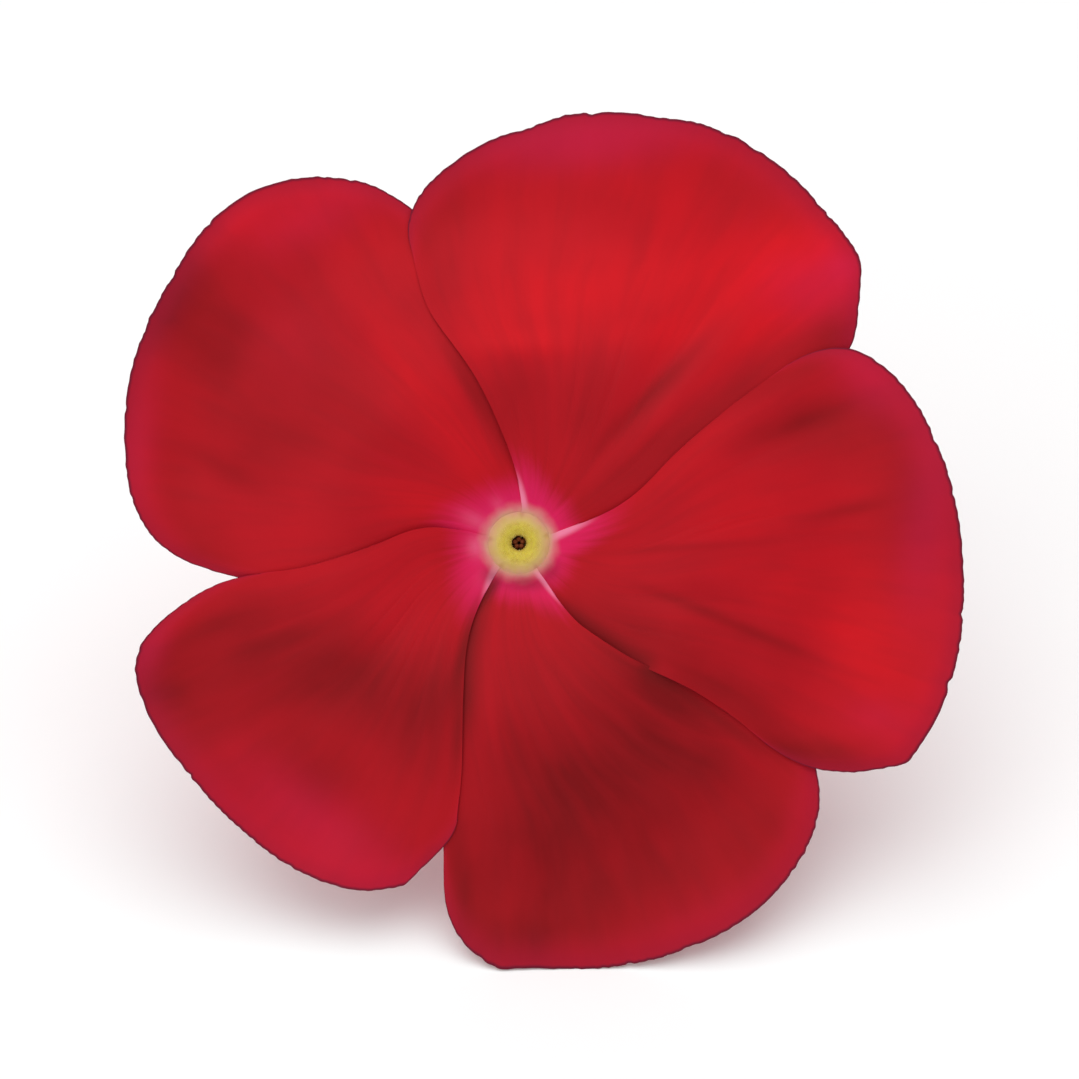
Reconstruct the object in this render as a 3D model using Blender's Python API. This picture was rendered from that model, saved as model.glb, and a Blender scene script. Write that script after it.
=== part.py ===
"""A picked vinca flower (Madagascar periwinkle), lying on its lowest petal and the cut end of its stalk.

Run with: blender --background --python part.py

Every piece is drawn in the flower's own frame, in millimetres: the tube's axis is Z and points out of
the face, X is to the right and Y is up as the face is looked at. The origin is on the axis, at the
level where the petals leave the eye. MM turns these sizes to metres.
Angles round the face are in degrees, anticlockwise from X.
"""

import math

import bmesh
import bpy
from mathutils import Matrix, Vector

MM = 0.001

# Petals. They are thicker than the real ones, which are about 0.3 mm.
PETAL_THICKNESS = 0.6
PETAL_ROOT_RADIUS = 2.05
STEPS_ALONG = 18
STEPS_ACROSS = 26

# The face seen from the side, as (radius, height): a crest round the eye, a fall beyond it and a rim
# that turns up again.
FACE_PROFILE = ((2.0, 0.0), (6.0, 1.1), (10.5, 1.9), (15.0, 1.0), (19.0, -0.1), (22.5, 0.05), (27.0, 0.8))
RIM_WAVE_HEIGHT = 0.22

# Each petal runs from its right edge (-1) to its left edge (+1), as seen when looking outwards from
# the eye. *_deg is the angle of that edge at even steps from root to rim. *_lift is how far the
# edge stands above its neighbour (+) or tucks under it (-) at the same steps. rim is the radius of the
# rim from the right corner to the left one, closer together at the corners. Folds are shallow
# valleys: (across at the start, across at the end, start along, end along, depth, width).
PETALS = {
    "petal_top": {
        "right_deg": (10.5, 14.5, 19.0, 21.0, 24.0),
        "left_deg": (84.0, 97.0, 104.8, 110.9, 110.0),
        "right_lift": (-0.43, -0.50, -0.62, -0.62, -0.62),
        "left_lift": (0.43, 0.50, 0.62, 0.62, 0.62),
        "rim": (18.9, 21.0, 24.8, 26.45, 26.65, 25.1, 22.95, 20.8, 18.4),
        "folds": ((-0.22, -0.42, 0.10, 0.80, 0.38, 0.13), (-0.60, -0.75, 0.25, 1.10, 0.28, 0.14)),
        "wave": (2.6, 0.4),
    },
    "petal_upper_left": {
        "right_deg": (78.5, 91.0, 95.0, 97.0, 101.0),
        "left_deg": (172.0, 174.0, 184.0, 191.0, 192.0),
        "right_lift": (-0.43, -0.50, -0.62, -0.62, -0.62),
        "left_lift": (-0.43, -0.50, -0.62, -0.62, -0.62),
        "rim": (15.5, 18.6, 23.2, 25.85, 25.35, 23.95, 21.4, 15.3, 12.9),
        "folds": ((-0.36, -0.30, 0.15, 0.85, 0.25, 0.14), (0.42, 0.46, 0.50, 1.10, 0.22, 0.12)),
        "wave": (2.2, 1.9),
    },
    "petal_lower_left": {
        "right_deg": (167.0, 169.5, 181.0, 186.0, 186.8),
        "left_deg": (232.0, 239.8, 249.5, 255.3, 257.5),
        "right_lift": (0.43, 0.50, 0.62, 0.62, 0.62),
        "left_lift": (0.43, 0.50, 0.62, 0.62, 0.62),
        "rim": (15.2, 19.3, 23.2, 23.85, 23.35, 23.05, 21.95, 18.9, 16.6),
        "folds": ((0.10, -0.30, 0.15, 0.95, 0.32, 0.18), (0.45, 0.40, 0.55, 1.10, 0.15, 0.12)),
        "wave": (2.4, 3.1),
    },
    "petal_bottom": {
        "right_deg": (226.5, 234.5, 242.0, 247.0, 251.5),
        "left_deg": (305.5, 304.6, 306.2, 310.8, 313.3, 316.7, 320.2, 324.6, 329.0),
        "right_lift": (-0.43, -0.50, -0.62, -0.62, -0.62),
        "left_lift": (0.43, 0.50, 0.56, 0.66, 0.25, -0.48, -0.66, -0.68, -0.64),
        "rim": (15.5, 19.0, 23.7, 24.9, 25.5, 25.3, 23.6, 20.1, 17.2),
        "folds": ((-0.38, -0.32, 0.40, 1.10, 0.20, 0.12), (0.20, 0.30, 0.25, 1.00, 0.30, 0.20)),
        "wave": (2.0, 0.0),
    },
    "petal_right": {
        "right_deg": (300.0, 300.6, 302.9, 309.4, 317.1, 320.3, 320.8, 321.0, 321.0),
        "left_deg": (375.5, 380.0, 389.5, 392.8, 393.5),
        "right_lift": (-0.43, -0.50, -0.56, -0.66, -0.25, 0.48, 0.66, 0.68, 0.64),
        "left_lift": (0.43, 0.50, 0.62, 0.62, 0.62),
        "rim": (17.8, 21.0, 25.9, 26.45, 26.0, 25.25, 24.1, 22.2, 18.9),
        "folds": ((0.70, 0.72, 0.45, 1.05, 0.26, 0.12), (-0.20, -0.45, 0.10, 0.85, 0.22, 0.12)),
        "wave": (2.5, 5.2),
    },
}
LIFT_STARTS_AT = 0.35

# The eye, a soft ring round the mouth of the tube, as (radius, height) once round its section.
MOUTH_RADIUS = 0.42
EYE_SECTION = (
    (MOUTH_RADIUS, -1.30),
    (MOUTH_RADIUS, -0.40),
    (0.52, -0.12),
    (0.72, 0.05),
    (1.00, 0.10),
    (1.35, 0.02),
    (1.75, -0.08),
    (1.75, -0.32),
    (1.30, -0.62),
    (0.85, -0.80),
    (0.85, -1.30),
)

# The tube: its flared top carries the petals and the eye, and its lower end stands on the calyx.
TUBE_END = -26.8
BORE_RADIUS = 0.55
BORE_END = TUBE_END + 1.2
TUBE_OUTSIDE = (
    (0.0, TUBE_END),
    (0.70, TUBE_END),
    (0.90, TUBE_END + 0.5),
    (0.92, -17.0),
    (1.02, -12.0),
    (1.35, -8.5),
    (1.48, -6.0),
    (1.40, -3.8),
    (1.62, -2.5),
    (2.15, -1.75),
    (2.90, -1.35),
)
TUBE_INSIDE = (
    (2.90, -1.02),
    (1.75, -1.02),
    (1.35, -1.10),
    (1.15, -1.25),
    (1.15, -1.62),
    (BORE_RADIUS, -1.62),
    (BORE_RADIUS, BORE_END),
    (0.0, BORE_END),
)

# The calyx and the stalk, one green piece. The stalk is cut where the lying flower meets the table.
STALK_RADIUS = 0.75
CALYX_TOP = TUBE_END - 0.3
CALYX_OUTSIDE = (
    (STALK_RADIUS, CALYX_TOP - 1.6),
    (1.45, CALYX_TOP - 0.7),
    (1.45, CALYX_TOP - 0.25),
    (1.20, CALYX_TOP),
    (0.0, CALYX_TOP),
)
SEPALS = 5
SEPAL_TURN = 18.0
SEPAL_LENGTH = 4.6
SEPAL_WIDTH = 0.95
SEPAL_TIP_WIDTH = 0.30
SEPAL_BACK_SHARE = 0.6
SEPAL_BOW = 0.35
SEPAL_THICKNESS = 0.6
SEPAL_ROOT_RADIUS = 1.25
SEPAL_ROOT_HEIGHT = CALYX_TOP - 0.55
SEPAL_LEAN_DEG = 14.0
SEPAL_STEPS = 6

# The lying flower. LEAN is how far above level the face looks. The table takes a small flat off each
# of the two places where the flower rests.
LEAN_DEG = 37.0
REST_FLAT_DEPTH = 0.2

ROUND_SIDES = 20
SHARP_DEG = 50.0
MERGE_DISTANCE = 0.01
CUTTER_SIDE = 80.0
CUTTER_DEPTH = 10.0

RED = (0.47, 0.010, 0.016)
YELLOW = (0.62, 0.47, 0.06)
PALE_GREEN = (0.56, 0.60, 0.30)
LEAF_GREEN = (0.12, 0.26, 0.05)


def material(name, colour, roughness):
    """A Principled finish with one colour, for a plain view of the part."""
    made = bpy.data.materials.new(name)
    made.use_nodes = True
    shader = made.node_tree.nodes["Principled BSDF"]
    shader.inputs["Base Color"].default_value = (*colour, 1.0)
    shader.inputs["Roughness"].default_value = roughness
    shader.inputs["Metallic"].default_value = 0.0
    made.diffuse_color = (*colour, 1.0)
    return made


def smooth_curve(knots, place):
    """The value at place, 0 to 1, on a smooth curve through evenly spaced knots."""
    last = len(knots) - 1
    scaled = min(max(place, 0.0), 1.0) * last
    i = min(int(scaled), last - 1)
    u = scaled - i
    before = knots[i - 1] if i > 0 else 2 * knots[0] - knots[1]
    after = knots[i + 2] if i + 2 <= last else 2 * knots[last] - knots[last - 1]
    here, there = knots[i], knots[i + 1]
    return here + 0.5 * u * (
        (there - before)
        + u * ((2 * before - 5 * here + 4 * there - after) + u * (3 * (here - there) + after - before))
    )


def ease(value, low, high):
    """0 below low, 1 above high and a smooth step between."""
    u = min(max((value - low) / (high - low), 0.0), 1.0)
    return u * u * (3 - 2 * u)


def face_height(radius):
    """The height of the face at a radius, from FACE_PROFILE."""
    for (r0, z0), (r1, z1) in zip(FACE_PROFILE, FACE_PROFILE[1:]):
        if radius <= r1:
            break
    i = FACE_PROFILE.index((r0, z0))
    slopes = []
    for k in (i, i + 1):
        low = FACE_PROFILE[max(k - 1, 0)]
        high = FACE_PROFILE[min(k + 1, len(FACE_PROFILE) - 1)]
        slopes.append((high[1] - low[1]) / (high[0] - low[0]))
    width = r1 - r0
    u = (radius - r0) / width
    return (
        z0 * (1 + 2 * u) * (1 - u) ** 2
        + width * slopes[0] * u * (1 - u) ** 2
        + z1 * u * u * (3 - 2 * u)
        + width * slopes[1] * u * u * (u - 1)
    )


def petal_point(petal, along, turn):
    """A point on a petal's middle surface. along is 0 at the root and 1 at the rim; turn is -1 at the
    right edge and +1 at the left one, spaced so that the corners come out round."""
    across = math.sin(turn * math.pi / 2)
    share = (across + 1) / 2
    rim = smooth_curve(petal["rim"], (turn + 1) / 2)
    radius = PETAL_ROOT_RADIUS + (rim - PETAL_ROOT_RADIUS) * along
    right = smooth_curve(petal["right_deg"], along)
    left = smooth_curve(petal["left_deg"], along)
    angle = math.radians(right + (left - right) * share)

    height = face_height(radius)
    lift = smooth_curve(petal["left_lift"], along) * ease(across, LIFT_STARTS_AT, 1.0)
    lift += smooth_curve(petal["right_lift"], along) * ease(-across, LIFT_STARTS_AT, 1.0)
    height += lift
    for across_in, across_out, start, end, depth, width in petal["folds"]:
        middle = (start + end) / 2
        reach = ease(along, start, middle) * (1 - ease(along, middle, end))
        place = across_in + (across_out - across_in) * (along - start) / (end - start)
        height -= depth * reach * math.exp(-(((across - place) / width) ** 2))
    waves, phase = petal["wave"]
    height += RIM_WAVE_HEIGHT * along**4 * math.sin(waves * math.pi * across + phase) * (1 - across**2)
    return Vector((radius * math.cos(angle), radius * math.sin(angle), height))


def new_object(name, mesh, finish, parent):
    """An object in the scene with one finish, carried by parent."""
    made = bpy.data.objects.new(name, mesh)
    bpy.context.scene.collection.objects.link(made)
    mesh.materials.append(finish)
    made.parent = parent
    return made


def petal_object(name, petal, finish, parent):
    """One petal: a sheet of triangles, thickened to both sides, so that both faces match."""
    points = []
    for i in range(STEPS_ALONG + 1):
        for j in range(STEPS_ACROSS + 1):
            points.append(petal_point(petal, i / STEPS_ALONG, 2 * j / STEPS_ACROSS - 1) * MM)
    row = STEPS_ACROSS + 1
    faces = []
    for i in range(STEPS_ALONG):
        for j in range(STEPS_ACROSS):
            a, b = i * row + j, (i + 1) * row + j
            faces.append((a, b, b + 1))
            faces.append((a, b + 1, a + 1))
    mesh = bpy.data.meshes.new(name)
    mesh.from_pydata(points, [], faces)
    made = new_object(name, mesh, finish, parent)
    thicken = made.modifiers.new("thickness", "SOLIDIFY")
    thicken.thickness = PETAL_THICKNESS * MM
    thicken.offset = 0.0
    mesh.shade_smooth()
    return made


def turned_object(name, section, finish, parent):
    """A closed body turned about the flower's axis from a section of (radius, height) points. The
    section may start and end on the axis, or go once round a ring."""
    work = bmesh.new()
    rings = []
    for radius, height in section:
        if radius == 0.0:
            rings.append([work.verts.new((0.0, 0.0, height * MM))])
            continue
        ring = []
        for k in range(ROUND_SIDES):
            angle = 2 * math.pi * k / ROUND_SIDES
            ring.append(
                work.verts.new((radius * math.cos(angle) * MM, radius * math.sin(angle) * MM, height * MM))
            )
        rings.append(ring)
    closed = section[0][0] > 0.0
    pairs = list(zip(rings, rings[1:] + (rings[:1] if closed else [])))
    for lower, upper in pairs:
        for k in range(ROUND_SIDES):
            n = (k + 1) % ROUND_SIDES
            below = [lower[k % len(lower)], lower[n % len(lower)]]
            above = [upper[n % len(upper)], upper[k % len(upper)]]
            work.faces.new(list(dict.fromkeys(below + above)))
    bmesh.ops.recalc_face_normals(work, faces=work.faces)
    bmesh.ops.triangulate(work, faces=work.faces)
    mesh = bpy.data.meshes.new(name)
    work.to_mesh(mesh)
    work.free()
    mesh.shade_smooth()
    mesh.set_sharp_from_angle(angle=math.radians(SHARP_DEG))
    return new_object(name, mesh, finish, parent)


def sepal_mesh(name):
    """One narrow sepal along +Z from the origin, tapering to its tip and bowed a little outwards."""
    work = bmesh.new()
    rows = []
    for i in range(SEPAL_STEPS + 1):
        along = i / SEPAL_STEPS
        half = (SEPAL_WIDTH + (SEPAL_TIP_WIDTH - SEPAL_WIDTH) * along**1.4) / 2
        thick = SEPAL_THICKNESS / 2
        bow = SEPAL_BOW * along**2
        back = half * SEPAL_BACK_SHARE
        height = SEPAL_LENGTH * along
        corners = ((bow - thick, -half), (bow + thick, -back), (bow + thick, back), (bow - thick, half))
        rows.append([work.verts.new((x * MM, y * MM, height * MM)) for x, y in corners])
    for lower, upper in zip(rows, rows[1:]):
        for k in range(len(lower)):
            n = (k + 1) % len(lower)
            work.faces.new((lower[k], lower[n], upper[n], upper[k]))
    work.faces.new(rows[0])
    work.faces.new(rows[-1])
    bmesh.ops.recalc_face_normals(work, faces=work.faces)
    bmesh.ops.triangulate(work, faces=work.faces)
    mesh = bpy.data.meshes.new(name)
    work.to_mesh(mesh)
    work.free()
    return mesh


def calyx_object(stalk_end, finish, parent):
    """The calyx and the stalk: a turned cup and stem, with the sepals sunk into its rim and fused."""
    section = ((0.0, stalk_end), (STALK_RADIUS, stalk_end)) + CALYX_OUTSIDE
    made = turned_object("calyx_and_stalk", section, finish, parent)
    sepals = bpy.data.collections.new("sepals")
    bpy.context.scene.collection.children.link(sepals)
    for k in range(SEPALS):
        sepal = bpy.data.objects.new(f"sepal_{k}", sepal_mesh(f"sepal_{k}"))
        sepals.objects.link(sepal)
        root = Vector((SEPAL_ROOT_RADIUS + SEPAL_THICKNESS / 2, 0.0, SEPAL_ROOT_HEIGHT)) * MM
        lean = Matrix.Rotation(math.radians(SEPAL_LEAN_DEG), 4, "Y")
        turn = Matrix.Rotation(math.radians(SEPAL_TURN + 360 * k / SEPALS), 4, "Z")
        sepal.data.transform(turn @ Matrix.Translation(root) @ lean)
        sepal.parent = parent
    join = made.modifiers.new("sepals", "BOOLEAN")
    join.operation = "UNION"
    join.operand_type = "COLLECTION"
    join.collection = sepals
    join.solver = "EXACT"
    apply_modifiers(made)
    merge_near_corners(made.data)
    for sepal in list(sepals.objects):
        bpy.data.objects.remove(sepal)
    bpy.data.collections.remove(sepals)
    return made


def apply_modifiers(made):
    """Puts the shape that the modifiers give into the object's own mesh."""
    graph = bpy.context.evaluated_depsgraph_get()
    graph.update()
    final = bpy.data.meshes.new_from_object(made.evaluated_get(graph))
    made.modifiers.clear()
    made.data = final


def merge_near_corners(mesh):
    """Merges corners that a union leaves almost on top of each other."""
    work = bmesh.new()
    work.from_mesh(mesh)
    bmesh.ops.remove_doubles(work, verts=work.verts, dist=MERGE_DISTANCE * MM)
    bmesh.ops.dissolve_degenerate(work, edges=work.edges, dist=MERGE_DISTANCE * MM)
    work.to_mesh(mesh)
    work.free()


def world_corners(objects):
    """Every corner of these objects, modifiers included, in world space."""
    bpy.context.view_layer.update()
    graph = bpy.context.evaluated_depsgraph_get()
    corners = []
    for one in objects:
        shown = one.evaluated_get(graph)
        corners += [shown.matrix_world @ v.co for v in shown.data.vertices]
    return corners


def cut_rest_flat(made, level):
    """Takes off what of the object lies below a level, so that it rests on a small flat."""
    side, depth = CUTTER_SIDE * MM, CUTTER_DEPTH * MM
    work = bmesh.new()
    bmesh.ops.create_cube(work, size=1.0)
    bmesh.ops.scale(work, vec=(side, side, depth), verts=work.verts)
    bmesh.ops.translate(work, vec=(0.0, 0.0, level - depth / 2), verts=work.verts)
    mesh = bpy.data.meshes.new(f"{made.name}_table")
    work.to_mesh(mesh)
    work.free()
    cutter = bpy.data.objects.new(f"{made.name}_table", mesh)
    bpy.context.scene.collection.objects.link(cutter)
    cutter.hide_render = True
    cutter.display_type = "WIRE"
    cut = made.modifiers.new("rest flat", "BOOLEAN")
    cut.operation = "DIFFERENCE"
    cut.object = cutter
    cut.solver = "EXACT"


def build():
    for old in list(bpy.data.objects):
        bpy.data.objects.remove(old)

    red = material("petal_red", RED, 0.55)
    yellow = material("eye_yellow", YELLOW, 0.55)
    pale_green = material("tube_green", PALE_GREEN, 0.5)
    leaf_green = material("calyx_green", LEAF_GREEN, 0.5)

    flower = bpy.data.objects.new("flower", None)
    bpy.context.scene.collection.objects.link(flower)
    lean = math.radians(LEAN_DEG)
    flower.rotation_euler.x = math.pi / 2 - lean

    petals = [petal_object(name, petal, red, flower) for name, petal in PETALS.items()]
    eye = turned_object("eye", EYE_SECTION, yellow, flower)
    tube = turned_object("tube", TUBE_OUTSIDE + TUBE_INSIDE, pale_green, flower)

    lowest = min(corner.z for corner in world_corners(petals))
    table = lowest + REST_FLAT_DEPTH * MM
    stalk_end = (lowest / MM + STALK_RADIUS * math.cos(lean)) / math.sin(lean)
    calyx = calyx_object(stalk_end, leaf_green, flower)

    everything = petals + [eye, tube, calyx]
    corners = world_corners(everything)
    middle_x = (min(c.x for c in corners) + max(c.x for c in corners)) / 2
    middle_y = (min(c.y for c in corners) + max(c.y for c in corners)) / 2
    flower.location = (-middle_x, -middle_y, -table)
    bpy.context.view_layer.update()
    for resting in (bpy.data.objects["petal_bottom"], calyx):
        cut_rest_flat(resting, 0.0)
    print("stalk cut at", round(stalk_end, 3), "flower at", [round(v / MM, 4) for v in flower.location])


build()
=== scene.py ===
# %% [markdown]
# # A picked vinca flower
#
# A Madagascar periwinkle, sold as vinca, has five velvety petals that overlap like a pinwheel round a
# yellow eye, on a slender tube that stands in a small green calyx. Here one red bloom lies on a table, on
# its lowest petal and its cut stalk, with its face looking forward and up.
#
# The bare solids of the flower come from a file, and they fix where everything is. They could simply be
# painted, but they are too thick and too coarse to look alive. So each cell below makes one piece anew,
# finer and in its own skin, in just the same place.
#
# The first cell loads the solids and notes the size of their box. The last cell compares it with the box
# of the finished flower.

# %% Load the solids
import math

import bpy
import numpy as np
from mathutils import Matrix, Vector


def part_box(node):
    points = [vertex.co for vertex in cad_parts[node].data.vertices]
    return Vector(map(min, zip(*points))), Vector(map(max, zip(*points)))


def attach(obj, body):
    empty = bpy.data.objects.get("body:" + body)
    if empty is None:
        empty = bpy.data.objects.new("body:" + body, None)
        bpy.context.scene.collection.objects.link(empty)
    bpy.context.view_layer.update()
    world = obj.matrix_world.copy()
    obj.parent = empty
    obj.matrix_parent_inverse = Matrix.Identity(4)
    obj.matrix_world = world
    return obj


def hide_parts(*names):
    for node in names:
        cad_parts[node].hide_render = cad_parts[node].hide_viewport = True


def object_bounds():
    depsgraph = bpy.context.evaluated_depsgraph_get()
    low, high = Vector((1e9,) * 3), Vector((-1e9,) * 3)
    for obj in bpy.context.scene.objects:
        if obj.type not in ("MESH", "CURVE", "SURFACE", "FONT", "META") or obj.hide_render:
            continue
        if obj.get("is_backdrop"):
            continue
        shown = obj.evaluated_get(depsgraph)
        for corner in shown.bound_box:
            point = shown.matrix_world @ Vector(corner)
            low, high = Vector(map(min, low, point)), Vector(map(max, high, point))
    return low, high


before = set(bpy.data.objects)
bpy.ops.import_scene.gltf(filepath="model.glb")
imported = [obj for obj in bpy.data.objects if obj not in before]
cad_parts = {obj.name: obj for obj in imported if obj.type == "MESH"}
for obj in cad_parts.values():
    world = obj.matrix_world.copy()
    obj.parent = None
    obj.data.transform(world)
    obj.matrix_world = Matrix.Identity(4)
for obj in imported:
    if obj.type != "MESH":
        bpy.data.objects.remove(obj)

solid_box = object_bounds()
print("solids:", ", ".join(sorted(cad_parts)))

# %% [markdown]
# ## The flower's own frame
#
# The flower lies on its lowest petal and its stalk, so its face looks forward and up. It is much easier
# to draw it upright: the tube's axis is Z, the face looks along Z, and sizes are in millimetres. One
# matrix then lays every finished mesh down.
#
# The matrix needs the place where the axis meets the face. The eye's widest edge is a circle round that
# axis, so the highest and the frontmost point of the eye's box say where it is.

# %% Find the flower's own frame
MM = 0.001
LEAN = math.radians(37.0)
EYE_EDGE_RADIUS = 1.75
EYE_EDGE_HEIGHT = -0.08

tilt = math.pi / 2 - LEAN
eye_low, eye_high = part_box("eye")
edge_up = EYE_EDGE_RADIUS * math.sin(tilt) + EYE_EDGE_HEIGHT * math.cos(tilt)
edge_front = EYE_EDGE_RADIUS * math.cos(tilt) + EYE_EDGE_HEIGHT * math.sin(tilt)
face_centre = Vector(
    ((eye_low.x + eye_high.x) / 2, eye_low.y + edge_front * MM, eye_high.z - edge_up * MM)
)
lay_down = Matrix.Translation(face_centre) @ Matrix.Rotation(tilt, 4, "X")
print("face centre, mm:", [round(v / MM, 3) for v in face_centre])

# %% [markdown]
# ## Smooth curves from a few measurements
#
# A petal is described by a few sizes that can be read with a ruler: the angle of each edge and the
# radius of the rim at evenly spaced steps. The curve used here passes through every one of them and turns
# smoothly in between, so a handful of numbers gives a clean natural outline. The functions take NumPy
# arrays, because a fine petal has tens of thousands of points.

# %% Curve helpers


def smooth_curve(knots, place):
    """The value at place, 0 to 1, on a smooth curve through evenly spaced knots."""
    knots = np.asarray(knots, float)
    last = len(knots) - 1
    before_first = 2 * knots[0] - knots[1]
    after_last = 2 * knots[-1] - knots[-2]
    padded = np.concatenate(([before_first], knots, [after_last]))
    scaled = np.clip(place, 0.0, 1.0) * last
    i = np.minimum(scaled.astype(int), last - 1)
    u = scaled - i
    before, here, there, after = padded[i], padded[i + 1], padded[i + 2], padded[i + 3]
    bend = 2 * before - 5 * here + 4 * there - after
    return here + 0.5 * u * (there - before + u * (bend + u * (3 * (here - there) + after - before)))


def ease(value, low, high):
    """0 below low, 1 above high and a smooth step between."""
    u = np.clip((value - low) / (high - low), 0.0, 1.0)
    return u * u * (3 - 2 * u)


# %% [markdown]
# ## The shape of the face
#
# Seen from the side, the face isn't flat. It rises out of the eye to a soft crest, falls away beyond it
# and turns up again at the rim. That is what the light reads: a petal above the eye is dark inside the
# crest and bright beyond it, and a petal below the eye is the other way round.

# %% Height of the face at a radius
FACE_PROFILE = np.array(
    ((2.0, 0.0), (6.0, 1.1), (10.5, 1.9), (15.0, 1.0), (19.0, -0.1), (22.5, 0.05), (27.0, 0.8))
)


def face_height(radius):
    """The height of the face at a radius, both in millimetres."""
    r, z = FACE_PROFILE.T
    ends = np.arange(len(r))
    low, high = np.maximum(ends - 1, 0), np.minimum(ends + 1, len(r) - 1)
    slope = (z[high] - z[low]) / (r[high] - r[low])
    i = np.clip(np.searchsorted(r, radius) - 1, 0, len(r) - 2)
    width = r[i + 1] - r[i]
    u = (radius - r[i]) / width
    return (
        z[i] * (1 + 2 * u) * (1 - u) ** 2
        + width * slope[i] * u * (1 - u) ** 2
        + z[i + 1] * u * u * (3 - 2 * u)
        + width * slope[i + 1] * u * u * (u - 1)
    )


print("face height at 5, 10 and 25 mm:", face_height(np.array((5.0, 10.0, 25.0))).round(2))
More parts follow.
